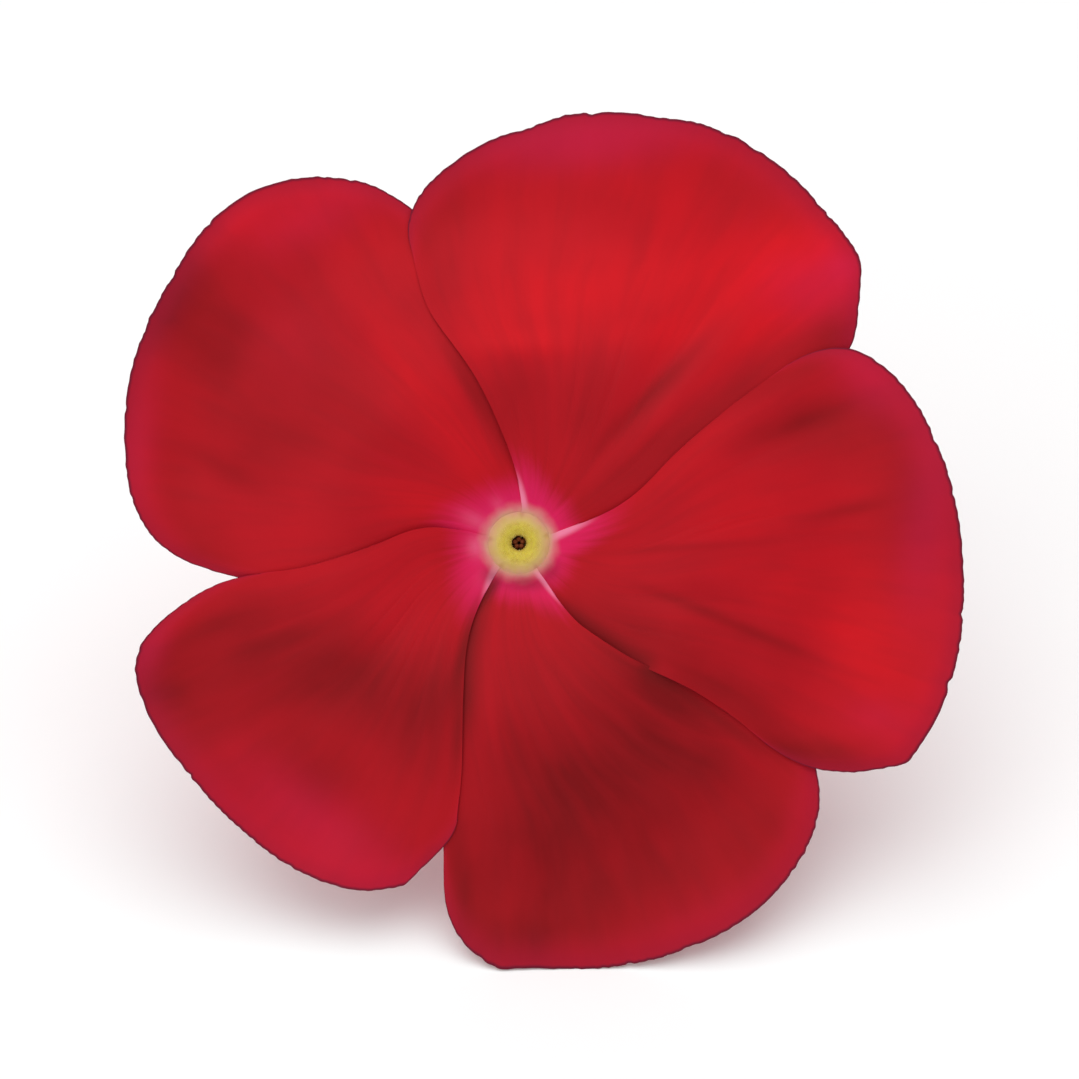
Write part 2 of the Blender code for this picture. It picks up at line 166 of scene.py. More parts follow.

# %% [markdown]
# ## Five petals, measured
#
# No two petals of a real bloom are alike, so each has its own numbers. Looking outwards from the eye,
# a petal runs from its right edge, -1, to its left edge, +1. The lift of an edge says whether it lies
# over its neighbour or tucks under it: that is the pinwheel. Corners are the places where the rim juts
# out or is notched, each as (angle, amount, half width), in degrees and millimetres. Folds are shallow
# valleys that run outwards, each as (across at its start, across at its end, start, end, depth, width).
# wave says how often the rim sways up and down, and where it begins. seed settles what is left to chance.
# The lifts that several petals share are named first.
#
# The other lists are given in the flower's own plane. Swells are soft humps and hollows. Tones are
# lighter and darker patches, partly of the skin's own colour and partly painted light and shade. Blushes
# are pinker patches, pales are nearly white ones and dims are spots of painted shade. All of these are
# written as (x, y, half length, half width, direction, amount). glow says how far the magenta reaches from
# the axis over most of the petal, how far along its left edge, and how wide that tongue is. streak is the
# width and the reach of the pale line along the left edge.
#
# A photograph could be projected on a plain petal instead. The list is chosen because it stays sharp at
# any size, and because one number at a time can be understood and changed.

# %% Petal measurements
OVER = (0.43, 0.50, 0.62, 0.62, 0.62)
UNDER = tuple(-lift for lift in OVER)
OVER_THEN_UNDER = (0.43, 0.50, 0.56, 0.66, 0.25, -0.48, -0.66, -0.68, -0.64)
UNDER_THEN_OVER = tuple(-lift for lift in OVER_THEN_UNDER)
# In each petal the tones are partly painted light and shade, and shade and dims are painted shade.
PETALS = {
    "petal_top": {
        "right_deg": (10.5, 14.5, 19.0, 21.0, 24.0),
        "left_deg": (84.0, 97.0, 104.8, 110.9, 110.0),
        "right_lift": UNDER,
        "left_lift": OVER,
        "rim": (18.9, 21.0, 24.8, 26.45, 26.65, 25.1, 22.95, 20.8, 18.4),
        "corners": ((40, 0.45, 1.6), (35, -0.30, 1.5), (72, -0.36, 2.4), (89, -0.25, 1.2)),
        "folds": ((-0.22, -0.42, 0.10, 0.80, 0.38, 0.13), (-0.60, -0.75, 0.25, 1.10, 0.28, 0.14)),
        "wave": (2.6, 0.4),
        "swells": ((0.0, 11.2, 3.2, 0.7, 3, 0.12), (9.4, 9.0, 5.5, 0.6, 46, 0.06)),
        "tones_and_painted_light": (
            (7.0, 14.8, 11.0, 2.6, 12, 0.60),
            (16.4, 17.2, 4.0, 2.3, 20, 0.50),
            (3.0, 22.5, 7.0, 2.0, 5, 0.15),
            (-0.8, 8.4, 4.0, 2.3, 75, -0.35),
            (0.5, 11.6, 2.5, 0.9, 0, 0.45),
            (14.8, 13.0, 4.5, 1.4, 28, 0.55),
            (4.0, 18.5, 11.0, 4.0, 8, 0.15),
            (2.5, 23.8, 7.0, 1.6, 6, -0.65),
            (10.5, 13.0, 3.5, 1.2, 35, 0.40),
            (0.0, 15.0, 4.0, 3.0, 90, 0.15),
            (7.0, 12.2, 2.6, 0.9, 10, 0.25),
            (8.2, 8.6, 5.0, 0.6, 45, -0.20),
            (-4.2, 14.0, 3.0, 1.5, 75, -0.20),
            (8.1, 9.1, 4.7, 0.5, 46, -0.52),
            (4.2, 7.8, 3.6, 1.8, 60, -0.30),
            (19.0, 12.3, 2.0, 1.3, 30, -0.65),
            (9.9, 6.9, 7.5, 0.9, 37, -0.45),
            (-4.6, 18.4, 3.5, 2.2, 70, -0.25),
        ),
        "blushes": (
            (17.4, 15.0, 4.0, 2.6, 0, 0.40),
            (18.9, 16.2, 1.2, 1.0, 0, 0.20),
            (4.0, 23.4, 7.5, 2.0, 5, 0.50),
        ),
        "pales": (),
        "glow": (4.8, 7.0, 0.90),
        "streak": (0.75, 5.0),
        "shade": (0.0, 0.2),
        "dims": (),
        "seed": 3,
    },
    "petal_upper_left": {
        "right_deg": (78.5, 91.0, 95.0, 97.0, 101.0),
        "left_deg": (172.0, 174.0, 184.0, 191.0, 192.0),
        "right_lift": UNDER,
        "left_lift": UNDER,
        "rim": (15.5, 18.6, 23.2, 25.85, 25.35, 23.95, 21.4, 15.3, 12.9),
        "corners": ((183, 0.30, 1.8), (142, -0.18, 4.0)),
        "folds": ((-0.36, -0.30, 0.15, 0.85, 0.25, 0.14), (0.42, 0.46, 0.50, 1.10, 0.22, 0.12)),
        "wave": (2.2, 1.9),
        "swells": (),
        "tones_and_painted_light": (
            (-12.8, 19.6, 4.5, 1.2, 30, 0.35),
            (-16.3, 19.2, 3.2, 1.0, 38, 0.55),
            (-9.5, 18.0, 3.0, 2.0, 0, 0.12),
            (-18.0, 12.2, 2.6, 1.8, 60, -0.40),
            (-14.5, 9.5, 4.7, 3.5, 40, -0.32),
            (-18.6, 15.2, 3.4, 1.8, 55, -0.50),
            (-20.7, 13.5, 5.0, 1.0, 62, -0.65),
            (-15.0, 3.2, 3.0, 1.4, -15, -0.20),
            (-20.0, 3.0, 5.0, 2.0, -65, -0.35),
            (-16.5, 11.5, 2.6, 1.2, 70, -0.25),
            (-2.9, 9.1, 3.2, 0.45, 119, -0.45),
            (-9.0, 6.5, 3.2, 2.0, -40, -0.30),
            (-5.0, 8.0, 6.4, 1.3, -58, 0.38),
            (-5.6, 2.4, 3.5, 1.5, 160, 0.35),
            (-17.2, 4.3, 2.6, 0.7, -30, -0.30),
            (-18.5, -1.0, 3.0, 0.7, -25, -0.28),
            (-14.5, 5.8, 4.0, 1.8, -20, -0.20),
        ),
        "blushes": (
            (-12.0, 19.0, 5.0, 2.0, 20, 0.30),
            (-22.1, 6.0, 4.7, 1.5, 80, 0.25),
            (-13.0, 12.0, 4.0, 4.0, 0, 0.15),
        ),
        "pales": ((-2.5, 1.3, 1.2, 0.6, 155, 0.30), (-1.2, 2.2, 0.7, 0.5, 120, 0.25)),
        "glow": (5.0, 7.4, 1.30),
        "streak": (0.30, 2.4),
        "shade": (0.2, 0.35),
        "dims": (),
        "seed": 7,
    },
    "petal_lower_left": {
        "right_deg": (167.0, 169.5, 181.0, 186.0, 186.8),
        "left_deg": (232.0, 239.8, 249.5, 255.3, 257.5),
        "right_lift": OVER,
        "left_lift": OVER,
        "rim": (15.2, 19.3, 23.2, 23.85, 23.35, 23.05, 21.95, 18.9, 16.6),
        "corners": ((213, -0.25, 2.4), (195, 0.28, 1.5), (251.5, 0.50, 0.9)),
        "folds": ((0.10, -0.30, 0.15, 0.95, 0.32, 0.18), (0.45, 0.40, 0.55, 1.10, 0.15, 0.12)),
        "wave": (2.4, 3.1),
        "swells": (),
        "tones_and_painted_light": (
            (-10.0, -7.5, 6.8, 2.8, -14, -0.80),
            (-19.3, -8.5, 3.5, 2.4, -60, -0.35),
            (-13.0, -5.2, 4.0, 0.8, 15, -0.25),
            (-5.2, -11.0, 4.5, 2.0, 78, -0.42),
            (-10.5, -16.0, 6.0, 2.2, -35, -0.22),
            (-13.5, -11.5, 9.0, 3.0, -30, -0.20),
            (-21.3, -8.5, 4.0, 1.7, -65, -0.70),
            (-7.0, -15.5, 3.0, 2.0, -50, 0.25),
            (-15.7, -4.2, 4.7, 0.7, 20, -0.30),
            (-18.3, -5.0, 3.5, 0.6, 32, -0.20),
            (-13.0, -13.0, 3.5, 2.0, -40, -0.15),
            (-16.5, -14.5, 5.0, 1.2, -38, -0.20),
        ),
        "blushes": ((-11.5, -16.6, 8.0, 2.8, -35, 0.38), (-21.5, -6.2, 2.3, 1.2, 60, 0.30)),
        "pales": ((-2.5, -0.2, 0.7, 0.8, 180, 0.40), (-2.0, -1.9, 1.0, 0.6, 225, 0.15)),
        "glow": (5.4, 7.4, 1.40),
        "streak": (0.80, 4.6),
        "shade": (0.0, 0.0),
        "dims": (
            (-1.5, -2.0, 0.8, 0.6, -45, 0.50),
            (-3.1, -6.0, 3.0, 0.5, 75, 0.60),
            (-3.5, -11.0, 3.2, 0.45, 86, 0.50),
        ),
        "seed": 11,
    },
    "petal_bottom": {
        "right_deg": (222.0, 229.5, 239.5, 246.0, 251.5),
        "left_deg": (305.5, 304.6, 306.2, 310.8, 314.6, 318.7, 321.4, 324.6, 329.0),
        "right_lift": (-0.55, -0.65, -0.68, -0.62, -0.62),
        "left_lift": OVER_THEN_UNDER,
        "rim": (15.5, 19.0, 23.7, 24.9, 25.5, 25.3, 23.6, 20.1, 17.2),
        "corners": ((255.8, -2.10, 0.8), (267, 0.38, 1.3)),
        "folds": ((-0.38, -0.32, 0.40, 1.10, 0.20, 0.12), (0.20, 0.30, 0.25, 1.00, 0.30, 0.20)),
        "wave": (2.0, 0.0),
        "swells": (),
        "tones_and_painted_light": (
            (6.6, -10.2, 6.0, 2.4, -35, -0.50),
            (10.5, -10.4, 5.0, 1.4, -38, -0.12),
            (-0.5, -23.5, 5.0, 1.6, 0, -0.50),
            (-3.4, -19.5, 4.0, 0.9, 100, -0.50),
            (-1.3, -18.5, 4.5, 1.3, 86, -0.15),
            (6.0, -20.0, 2.5, 1.5, 0, -0.20),
            (8.0, -8.4, 4.5, 1.0, -37, -0.58),
            (5.0, -13.5, 3.0, 1.8, 0, -0.35),
            (5.3, -16.1, 9.0, 6.0, -20, -0.62),
            (1.6, -21.5, 6.4, 2.6, 0, -0.32),
            (15.5, -15.5, 3.5, 2.0, 60, -0.20),
            (0.0, -9.5, 4.0, 1.5, 88, -0.20),
            (2.0, -16.5, 5.5, 2.2, 85, -0.35),
            (12.0, -14.0, 4.5, 2.2, -40, -0.08),
        ),
        "blushes": ((10.5, -21.5, 6.4, 2.0, 25, 0.15), (16.4, -15.0, 2.3, 1.2, 60, 0.15)),
        "pales": (),
        "glow": (4.6, 6.6, 0.80),
        "streak": (0.60, 5.2),
        "shade": (0.75, 0.65),
        "dims": (
            (0.4, -2.35, 1.8, 0.6, 0, 0.52),
            (-1.7, -2.75, 1.2, 0.4, 62, 0.60),
            (11.6, -10.2, 4.8, 0.6, -35, 0.50),
        ),
        "seed": 13,
    },
    "petal_right": {
        "right_deg": (300.0, 300.6, 302.9, 309.0, 315.0, 318.8, 320.5, 321.0, 321.0),
        "left_deg": (375.5, 380.0, 389.5, 392.8, 393.5),
        "right_lift": UNDER_THEN_OVER,
        "left_lift": OVER,
        "rim": (18.6, 22.5, 25.8, 26.35, 25.9, 25.15, 24.1, 22.2, 18.9),
        "corners": ((330.5, 0.35, 0.9),),
        "folds": ((0.70, 0.72, 0.45, 1.05, 0.26, 0.12), (-0.20, -0.45, 0.10, 0.85, 0.22, 0.12)),
        "wave": (2.5, 5.2),
        "swells": (),
        "tones_and_painted_light": (
            (15.8, 6.9, 4.0, 0.9, 20, -0.50),
            (15.5, 9.6, 5.0, 0.8, 30, -0.30),
            (23.4, 3.5, 6.0, 1.7, 80, -0.40),
            (16.0, -3.6, 5.0, 1.8, -25, 0.25),
            (21.0, -2.5, 2.6, 2.6, 0, 0.20),
            (17.5, 2.4, 5.0, 2.2, 10, 0.20),
            (21.6, 7.5, 3.0, 1.2, -60, -0.30),
            (23.8, 1.2, 2.0, 1.2, 90, -0.30),
            (11.2, 6.0, 3.0, 1.2, 35, 0.25),
            (5.2, 2.4, 3.0, 1.0, 30, 0.30),
            (19.0, 7.0, 4.0, 2.2, 20, -0.35),
            (21.6, -7.4, 4.4, 3.2, -40, 0.40),
            (12.9, 2.5, 4.7, 2.6, 20, 0.15),
            (14.0, -5.6, 5.8, 1.8, -32, -0.25),
            (10.5, -7.7, 7.5, 1.6, -33, -0.65),
            (16.8, -12.8, 5.0, 1.3, -6, -0.85),
            (7.0, -1.3, 4.1, 2.3, -10, -0.05),
            (12.0, -4.5, 5.0, 0.35, -22, -0.50),
            (10.6, -0.2, 5.8, 0.25, 4, -0.35),
            (19.0, 1.9, 2.6, 0.45, 12, -0.50),
        ),
        "blushes": (
            (23.6, 1.0, 7.0, 2.0, 85, 0.40),
            (20.4, 9.5, 3.5, 2.0, -50, 0.40),
            (20.8, -10.2, 2.6, 1.6, -10, 0.30),
        ),
        "pales": (),
        "glow": (4.4, 8.8, 0.85),
        "streak": (0.85, 5.6),
        "shade": (0.0, 0.65),
        "dims": ((1.8, -1.7, 1.1, 0.7, 45, 0.48),),
        "seed": 17,
    },
}
print(len(PETALS), "petals")

# %% [markdown]
# ## One petal as a sheet of points
#
# A real petal is one thin sheet, fanned out from the eye, with a crimped margin, a few soft folds and
# faint wrinkles that run outwards. It could be sculpted, or pulled from a plane with a subdivision
# surface. Here it is worked out with NumPy, because the petals then share one rule and each keeps its own
# measurements: rows from root to rim, and each row a fan of points from the right edge to the left.
#
# The first helper serves every list of soft spots: swells, tones, blushes, pales and dims.

# %% Soft spots


def soft_spots(x, y, spots):
    """The sum of soft oval spots, each (x, y, half length, half width, direction, amount)."""
    total = np.zeros_like(x)
    for spot_x, spot_y, long, wide, direction, amount in spots:
        turn = math.radians(direction)
        forward = (x - spot_x) * math.cos(turn) + (y - spot_y) * math.sin(turn)
        aside = (y - spot_y) * math.cos(turn) - (x - spot_x) * math.sin(turn)
        total += amount * np.exp(-((forward / long) ** 2) - (aside / wide) ** 2)
    return total


spot_fades = soft_spots(np.array((0.0, 1.0, 2.0)), np.zeros(3), ((0.0, 0.0, 1.0, 1.0, 0, 1.0),))
print("a spot at its middle and at one and two half lengths:", spot_fades.round(2))

# %% [markdown]
# ## The crimp of the rim
#
# The margin of a petal is never a clean curve. It has ripples of several lengths, which grow and fade and
# drift along it, a few nicks, and the corners from the list. A Displace modifier with a noise texture could
# roughen the edge, but it would know nothing of where the rim runs. All chance comes from the petal's own
# seed, so that every run gives the same flower.

# %% Rim
RIPPLE = 0.020
RIPPLE_LENGTHS = (0.55, 0.8, 1.3, 3.4)
RIPPLE_GROWTH = (0.3, 0.9)
RIPPLE_DRIFT = 1.2
RIPPLE_DRIFT_PACE = (0.4, 0.8)
NICKS = 12
NICK_DEPTHS = (0.03, 0.10)
NICK_WIDTHS = (0.12, 0.35)
CORNER_ROUNDNESS = 1.5
RIM_RADIUS = 25.0


def rim_crimp(petal, along_rim, angle):
    """How far the rim stands out at a distance along it, in mm: corners, ripples and nicks."""
    draw = np.random.default_rng(petal["seed"])
    crimp = np.zeros_like(along_rim)
    for degrees, amount, width in petal["corners"]:
        apart = (angle - math.radians(degrees)) * RIM_RADIUS / width
        crimp += amount * np.exp(-np.abs(apart) ** CORNER_ROUNDNESS)
    for length in RIPPLE_LENGTHS:
        phase = draw.uniform(0, 2 * math.pi, 3)
        strength = 0.5 + 0.5 * np.sin(along_rim * draw.uniform(*RIPPLE_GROWTH) + phase[0])
        drift = RIPPLE_DRIFT * np.sin(along_rim * draw.uniform(*RIPPLE_DRIFT_PACE) + phase[1])
        crimp += RIPPLE * strength * np.sin(2 * math.pi * along_rim / length + drift + phase[2])
    for _ in range(NICKS):
        place = draw.uniform(0.0, along_rim[-1])
        depth = draw.uniform(*NICK_DEPTHS)
        width = draw.uniform(*NICK_WIDTHS)
        crimp -= depth * np.exp(-np.abs((along_rim - place) / width) ** CORNER_ROUNDNESS)
    return crimp


rim_places = np.linspace(0, 20, 400)
plain_crimp = rim_crimp(PETALS["petal_top"], rim_places, np.full_like(rim_places, math.pi))
print("crimp of 20 mm of rim:", np.ptp(plain_crimp).round(3), "mm")

# %% [markdown]
# ## Valleys: folds and wrinkles
#
# A fold is a broad valley whose place is measured. A wrinkle is a narrow one, a few hundredths of a
# millimetre deep, that may lie anywhere across the petal. Both run outwards and fade at each end, so one
# helper makes both.

# %% Folds and wrinkles
WRINKLES = 16
WRINKLE_SEEDS_FROM = 100
WRINKLE_PLACES = (-0.9, 0.9)
WRINKLE_SLANTS = (-0.08, 0.08)
WRINKLE_STARTS = (0.05, 0.55)
WRINKLE_LENGTHS = (0.25, 0.6)
WRINKLE_DEPTHS = (0.008, 0.025)
WRINKLE_WIDTHS = (0.02, 0.05)


def valley(across, along, place, start, end, depth, width):
    """The depth of one valley that runs outwards and is deepest half way from start to end."""
    middle = (start + end) / 2
    reach = ease(along, start, middle) * (1 - ease(along, middle, end))
    return depth * reach * np.exp(-(((across - place) / width) ** 2))


def wrinkle_depth(petal, across, along):
    """The depth of the faint wrinkles, in millimetres."""
    draw = np.random.default_rng(petal["seed"] + WRINKLE_SEEDS_FROM)
    total = np.zeros_like(across)
    for _ in range(WRINKLES):
        place = draw.uniform(*WRINKLE_PLACES) + draw.uniform(*WRINKLE_SLANTS) * along
        start = draw.uniform(*WRINKLE_STARTS)
        end = start + draw.uniform(*WRINKLE_LENGTHS)
        depth = draw.uniform(*WRINKLE_DEPTHS)
        width = draw.uniform(*WRINKLE_WIDTHS)
        total += valley(across, along, place, start, end, depth, width)
    return total


top_wrinkles = wrinkle_depth(PETALS["petal_top"], np.linspace(-1, 1, 400), np.full(400, 0.5))
print("deepest wrinkle half way out on the top petal:", top_wrinkles.max().round(3), "mm")

# %% [markdown]
# ## Where a neighbour lies over a petal
#
# Along a seam the upper petal shades the lower one. The render makes most of that shade by itself. The
# rest is painted shade in the colour, and it needs to know how far each place is from the edge above it.
# That is a plain search for the nearest point of the neighbour's edge. The two numbers of "shade" say how
# dark the painted shade gets on the petal's left and on its right. It is fullest 6 to 9 mm from the axis
# and fades out by 15 mm.

# %% Shade under a neighbour's edge
ROOT_RADIUS = 1.6
EDGE_STEPS = 240
SHADE_WIDTH = 1.7
SHADE_GROWS = (2.5, 6.0)
SHADE_FADES = (9.0, 15.0)
ORDER = list(PETALS)


def edge_end(petal, side):
    """The radius at which a petal's left or right edge meets the rim."""
    return petal["rim"][-1 if side == "left" else 0]


def edge_value(petal, side, what, radius):
    """The angle ("deg") or the lift in mm ("lift") of a petal's left or right edge at a radius."""
    along_edge = (radius - ROOT_RADIUS) / (edge_end(petal, side) - ROOT_RADIUS)
    return smooth_curve(petal[side + "_" + what], along_edge)


def covering_edge(petal, side):
    """The points of a petal's left or right edge that lie over its neighbour, in millimetres."""
    radius = np.linspace(ROOT_RADIUS, edge_end(petal, side), EDGE_STEPS)
    angle = np.radians(edge_value(petal, side, "deg", radius))
    above = edge_value(petal, side, "lift", radius) > 0
    return np.stack((radius * np.cos(angle), radius * np.sin(angle)), axis=-1)[above]


def seam_shade(name, x, y):
    """How deep in shade each place of a petal is, under the neighbours' edges that lie over it."""
    place = ORDER.index(name)
    on_left = covering_edge(PETALS[ORDER[(place + 1) % len(ORDER)]], "right")
    on_right = covering_edge(PETALS[ORDER[place - 1]], "left")
    shade = np.zeros_like(x)
    for depth, edge in zip(PETALS[name]["shade"], (on_left, on_right)):
        nearest = np.full_like(x, np.inf)
        for edge_x, edge_y in edge:
            nearest = np.minimum(nearest, np.hypot(x - edge_x, y - edge_y))
        shade = np.maximum(shade, depth * (1 - ease(nearest, 0.0, SHADE_WIDTH)))
    radius = np.hypot(x, y)
    return shade * (ease(radius, *SHADE_GROWS) * (1 - ease(radius, *SHADE_FADES)))


for name in ORDER:
    left_above = len(covering_edge(PETALS[name], "left")) / EDGE_STEPS
    print(name, "left edge on top for", round(100 * left_above), "% of its length")

# %% [markdown]
# ## The height of a petal
#
# Several things add up here: the face's own rise and fall, the lift or tuck of each edge, the folds, the
# sway of the rim, the wrinkles and the swells. Close to the eye the rise and the lifts are eased off,
# because the real petals are joined there into one flat collar. Further out the lifts are a third of the
# solids' or less, because the real petals are so much thinner.
#
# A lift starts a third of the way from the petal's middle to its edge. Each pair of numbers below is a pair
# of radii in millimetres, where a change begins and where it is complete.

# %% Petal height
LIFTED_FROM = 0.35
LIFT_SHARE = 0.32
OUTER_LIFT_SHARE = 0.26
LIFT_LESSENS = (9.0, 16.0)
ROOT_LIFT_SHARE = 0.10
PETALS_PART = (1.9, 4.6)
FACE_RISES = (1.0, 3.6)
ROOT_DIP = 0.10
ROOT_DIP_ENDS = (ROOT_RADIUS, 2.1)
SWAY_HEIGHT = 0.22
SWAY_GROWTH = 4


def edge_lift(petal, side, radius):
    """How far a petal's left or right edge is lifted at a radius, or tucked under, in millimetres."""
    share = LIFT_SHARE + (OUTER_LIFT_SHARE - LIFT_SHARE) * ease(radius, *LIFT_LESSENS)
    parted = ROOT_LIFT_SHARE + (1 - ROOT_LIFT_SHARE) * ease(radius, *PETALS_PART)
    return share * edge_value(petal, side, "lift", radius) * parted


def petal_height(petal, across, along, radius, x, y):
    """The height of a petal over the flower's plane, in millimetres."""
    height = face_height(radius) * ease(radius, *FACE_RISES)
    height -= ROOT_DIP * (1 - ease(radius, *ROOT_DIP_ENDS))
    height += edge_lift(petal, "left", radius) * ease(across, LIFTED_FROM, 1.0)
    height += edge_lift(petal, "right", radius) * ease(-across, LIFTED_FROM, 1.0)
    for across_in, across_out, start, end, depth, width in petal["folds"]:
        place = across_in + (across_out - across_in) * (along - start) / (end - start)
        height -= valley(across, along, place, start, end, depth, width)
    waves, phase = petal["wave"]
    sway = SWAY_HEIGHT * along**SWAY_GROWTH * np.sin(waves * math.pi * across + phase)
    height += sway * (1 - across**2)
    return height - wrinkle_depth(petal, across, along) + soft_spots(x, y, petal["swells"])


top_lifts = edge_lift(PETALS["petal_top"], "left", np.array((5.0, 10.0, 20.0)))
print("the top petal's left edge is lifted at 5, 10 and 20 mm by", top_lifts.round(2), "mm")

# %% [markdown]
# ## Laying out a petal's points
#
# The fan of points comes first, then the crimp of its rim, the heights, and last the measures that the
# colours will follow: how far each point is from the eye, the rim and the nearest edge, how much tone it
# gets, which is partly painted light and shade, and how much blush, glow, pale line and painted shade. The
# rows crowd towards the rim and the columns towards the edges, where the shape changes fastest.

# %% Glow and streak
GLOW_FROM = 1.9
STREAK_THINNEST = 0.05
STREAK_NARROWS = 1.25
STREAK_SOFT_EDGE = 0.1
STREAK_FADES_FROM = 0.45


def edge_glow(petal, across, radius):
    """The magenta round the eye, 1 to 0, which reaches further along the petal's left edge."""
    wide, far, tongue = petal["glow"]
    return 1 - ease(radius, GLOW_FROM, far + (wide - far) * ease(1 - across, 0.0, tongue))


def edge_streak(petal, from_left, radius):
    """The pale line along the petal's left edge, 1 to 0, which narrows outwards."""
    width, reach = petal["streak"]
    taper = np.clip(STREAK_NARROWS - radius / reach, STREAK_THINNEST, 1.0) * width
    line = 1 - ease(from_left / taper, STREAK_SOFT_EDGE, 1.0)
    return line * (1 - ease(radius, STREAK_FADES_FROM * reach, reach))


top_glow = edge_glow(PETALS["petal_top"], 0.0, np.array((2.5, 3.5, 4.5)))
print("the top petal's glow at 2.5, 3.5 and 4.5 mm:", top_glow.round(2))

# %% Petal sheet
ROWS = 84
ROW_CROWDING = 1.25
COLUMNS = 320
HALF_WIDTH = 11.0
CRIMP_GROWTH = 9
ROLL_WIDTH = 1.2
ROLL_DEPTH = 0.04
ROLL_GROWS = (3.0, 9.0)


def petal_sheet(name):
    """The middle surface of a petal: its points and the measures that its colours follow."""
    petal = PETALS[name]
    rows = 1 - (1 - np.linspace(0, 1, ROWS + 1)) ** ROW_CROWDING
    along, turn = np.meshgrid(rows, np.linspace(-1, 1, COLUMNS + 1), indexing="ij")
    across = np.sin(turn * math.pi / 2)
    rim = smooth_curve(petal["rim"], (turn + 1) / 2)
    radius = ROOT_RADIUS + (rim - ROOT_RADIUS) * along
    right = np.radians(edge_value(petal, "right", "deg", radius))
    left = np.radians(edge_value(petal, "left", "deg", radius))
    angle = right + (left - right) * (across + 1) / 2

    steps = np.hypot(np.diff(rim[-1] * np.cos(angle[-1])), np.diff(rim[-1] * np.sin(angle[-1])))
    along_rim = np.concatenate(([0.0], np.cumsum(steps)))
    rim = rim + rim_crimp(petal, along_rim, angle[-1]) * along**CRIMP_GROWTH
    radius = ROOT_RADIUS + (rim - ROOT_RADIUS) * along
    x, y = radius * np.cos(angle), radius * np.sin(angle)

    from_rim = rim - radius
    from_left = radius * (left - angle)
    from_edge = np.minimum(np.minimum(from_rim, from_left), radius * (angle - right))
    height = petal_height(petal, across, along, radius, x, y)
    height -= ROLL_DEPTH * (1 - ease(from_edge, 0.0, ROLL_WIDTH)) * ease(radius, *ROLL_GROWS)

    pale = edge_streak(petal, from_left, radius) + soft_spots(x, y, petal["pales"])
    measures = {
        "from_eye": radius,
        "from_rim": from_rim,
        "from_edge": from_edge,
        # tone: partly the skin's own colour, partly painted light and shade
        "tone_and_painted_light": soft_spots(x, y, petal["tones_and_painted_light"]),
        "blush": soft_spots(x, y, petal["blushes"]),
        "glow": edge_glow(petal, across, radius),
        "pale": np.clip(pale, 0.0, 1.0),
        # shade: painted shade under the neighbours' edges and in the dims
        "shade": seam_shade(name, x, y) + soft_spots(x, y, petal["dims"]),
        "grain": np.stack((across * HALF_WIDTH, radius, np.full_like(radius, petal["seed"])), axis=-1),
    }
    return np.stack((x, y, height), axis=-1), measures


points, measures = petal_sheet("petal_top")
lowest, highest = points[..., 2].min().round(2), points[..., 2].max().round(2)
print("one sheet:", points.shape[:2], "points, from", lowest, "to", highest, "mm high")

# %% [markdown]
# ## From a sheet to a petal with two sides
#
# A live petal is about a third of a millimetre thick and thins out to its edge. A Solidify modifier could
# thicken the sheet, but not unevenly over two materials. So the sheet's points are pushed up and down
# along the surface's own direction, found from the steps to their neighbours, and the two layers are
# joined round the outside.

# %% Two sides


def surface_directions(points):
    """The direction square to the sheet at every point."""
    outwards = np.gradient(points, axis=0)
    sideways = np.gradient(points, axis=1)
    square = np.cross(outwards, sideways)
    return square / np.linalg.norm(square, axis=-1, keepdims=True)


def two_sided_faces(rows, columns):
    """Corner numbers of the quads of both sides and of the edge round them, and each quad's side."""
    count = (rows + 1) * (columns + 1)
    grid = np.arange(count).reshape(rows + 1, columns + 1)
    top = np.stack((grid[:-1, :-1], grid[1:, :-1], grid[1:, 1:], grid[:-1, 1:]), axis=-1).reshape(-1, 4)
    under = top[:, ::-1] + count
    ring = np.concatenate((grid[0, :-1], grid[:-1, -1], grid[-1, :0:-1], grid[:0:-1, 0]))
    following = np.roll(ring, -1)
    edge = np.stack((ring, following, following + count, ring + count), axis=-1)
    faces = np.concatenate((top, under, edge))
    side = np.concatenate((np.zeros(len(top), int), np.ones(len(under), int), np.zeros(len(edge), int)))
    return faces, side


print("quads in a petal:", len(two_sided_faces(ROWS, COLUMNS)[0]))

# %% [markdown]
# ## Putting a petal in the scene
#
# The measures travel with the mesh as named attributes. A material can read them, which is how the
# colours follow the petal and not the room. The finished mesh is laid down where the flower lies, and what
# would reach through the table is pressed flat on it, as a soft rim is by the flower's own weight.

# %% Petal object
THICK = 0.30
THIN = 0.11
THIN_MARGIN = 1.6
THICKENS = (1.8, 5.0)


def keep_measure(mesh, name, values):
    """Stores one number, or one place of three numbers, for each point of a mesh."""
    flat = np.asarray(values, np.float32)
    kind, key = ("FLOAT_VECTOR", "vector") if flat.shape[-1] == 3 else ("FLOAT", "value")
    mesh.attributes.new(name, kind, "POINT").data.foreach_set(key, flat.ravel())


def rest_on_surface(mesh):
    """Presses flat whatever would reach below the surface that the flower lies on."""
    places = np.empty(len(mesh.vertices) * 3, np.float32)
    mesh.vertices.foreach_get("co", places)
    heights = places[2::3]
    heights[heights < 0.0] = 0.0
    mesh.vertices.foreach_set("co", places)
    mesh.update()


def new_object(name, data):
    """A new object in the scene, which shows a mesh, a lamp or a camera."""
    made = bpy.data.objects.new(name, data)
    bpy.context.scene.collection.objects.link(made)
    return made


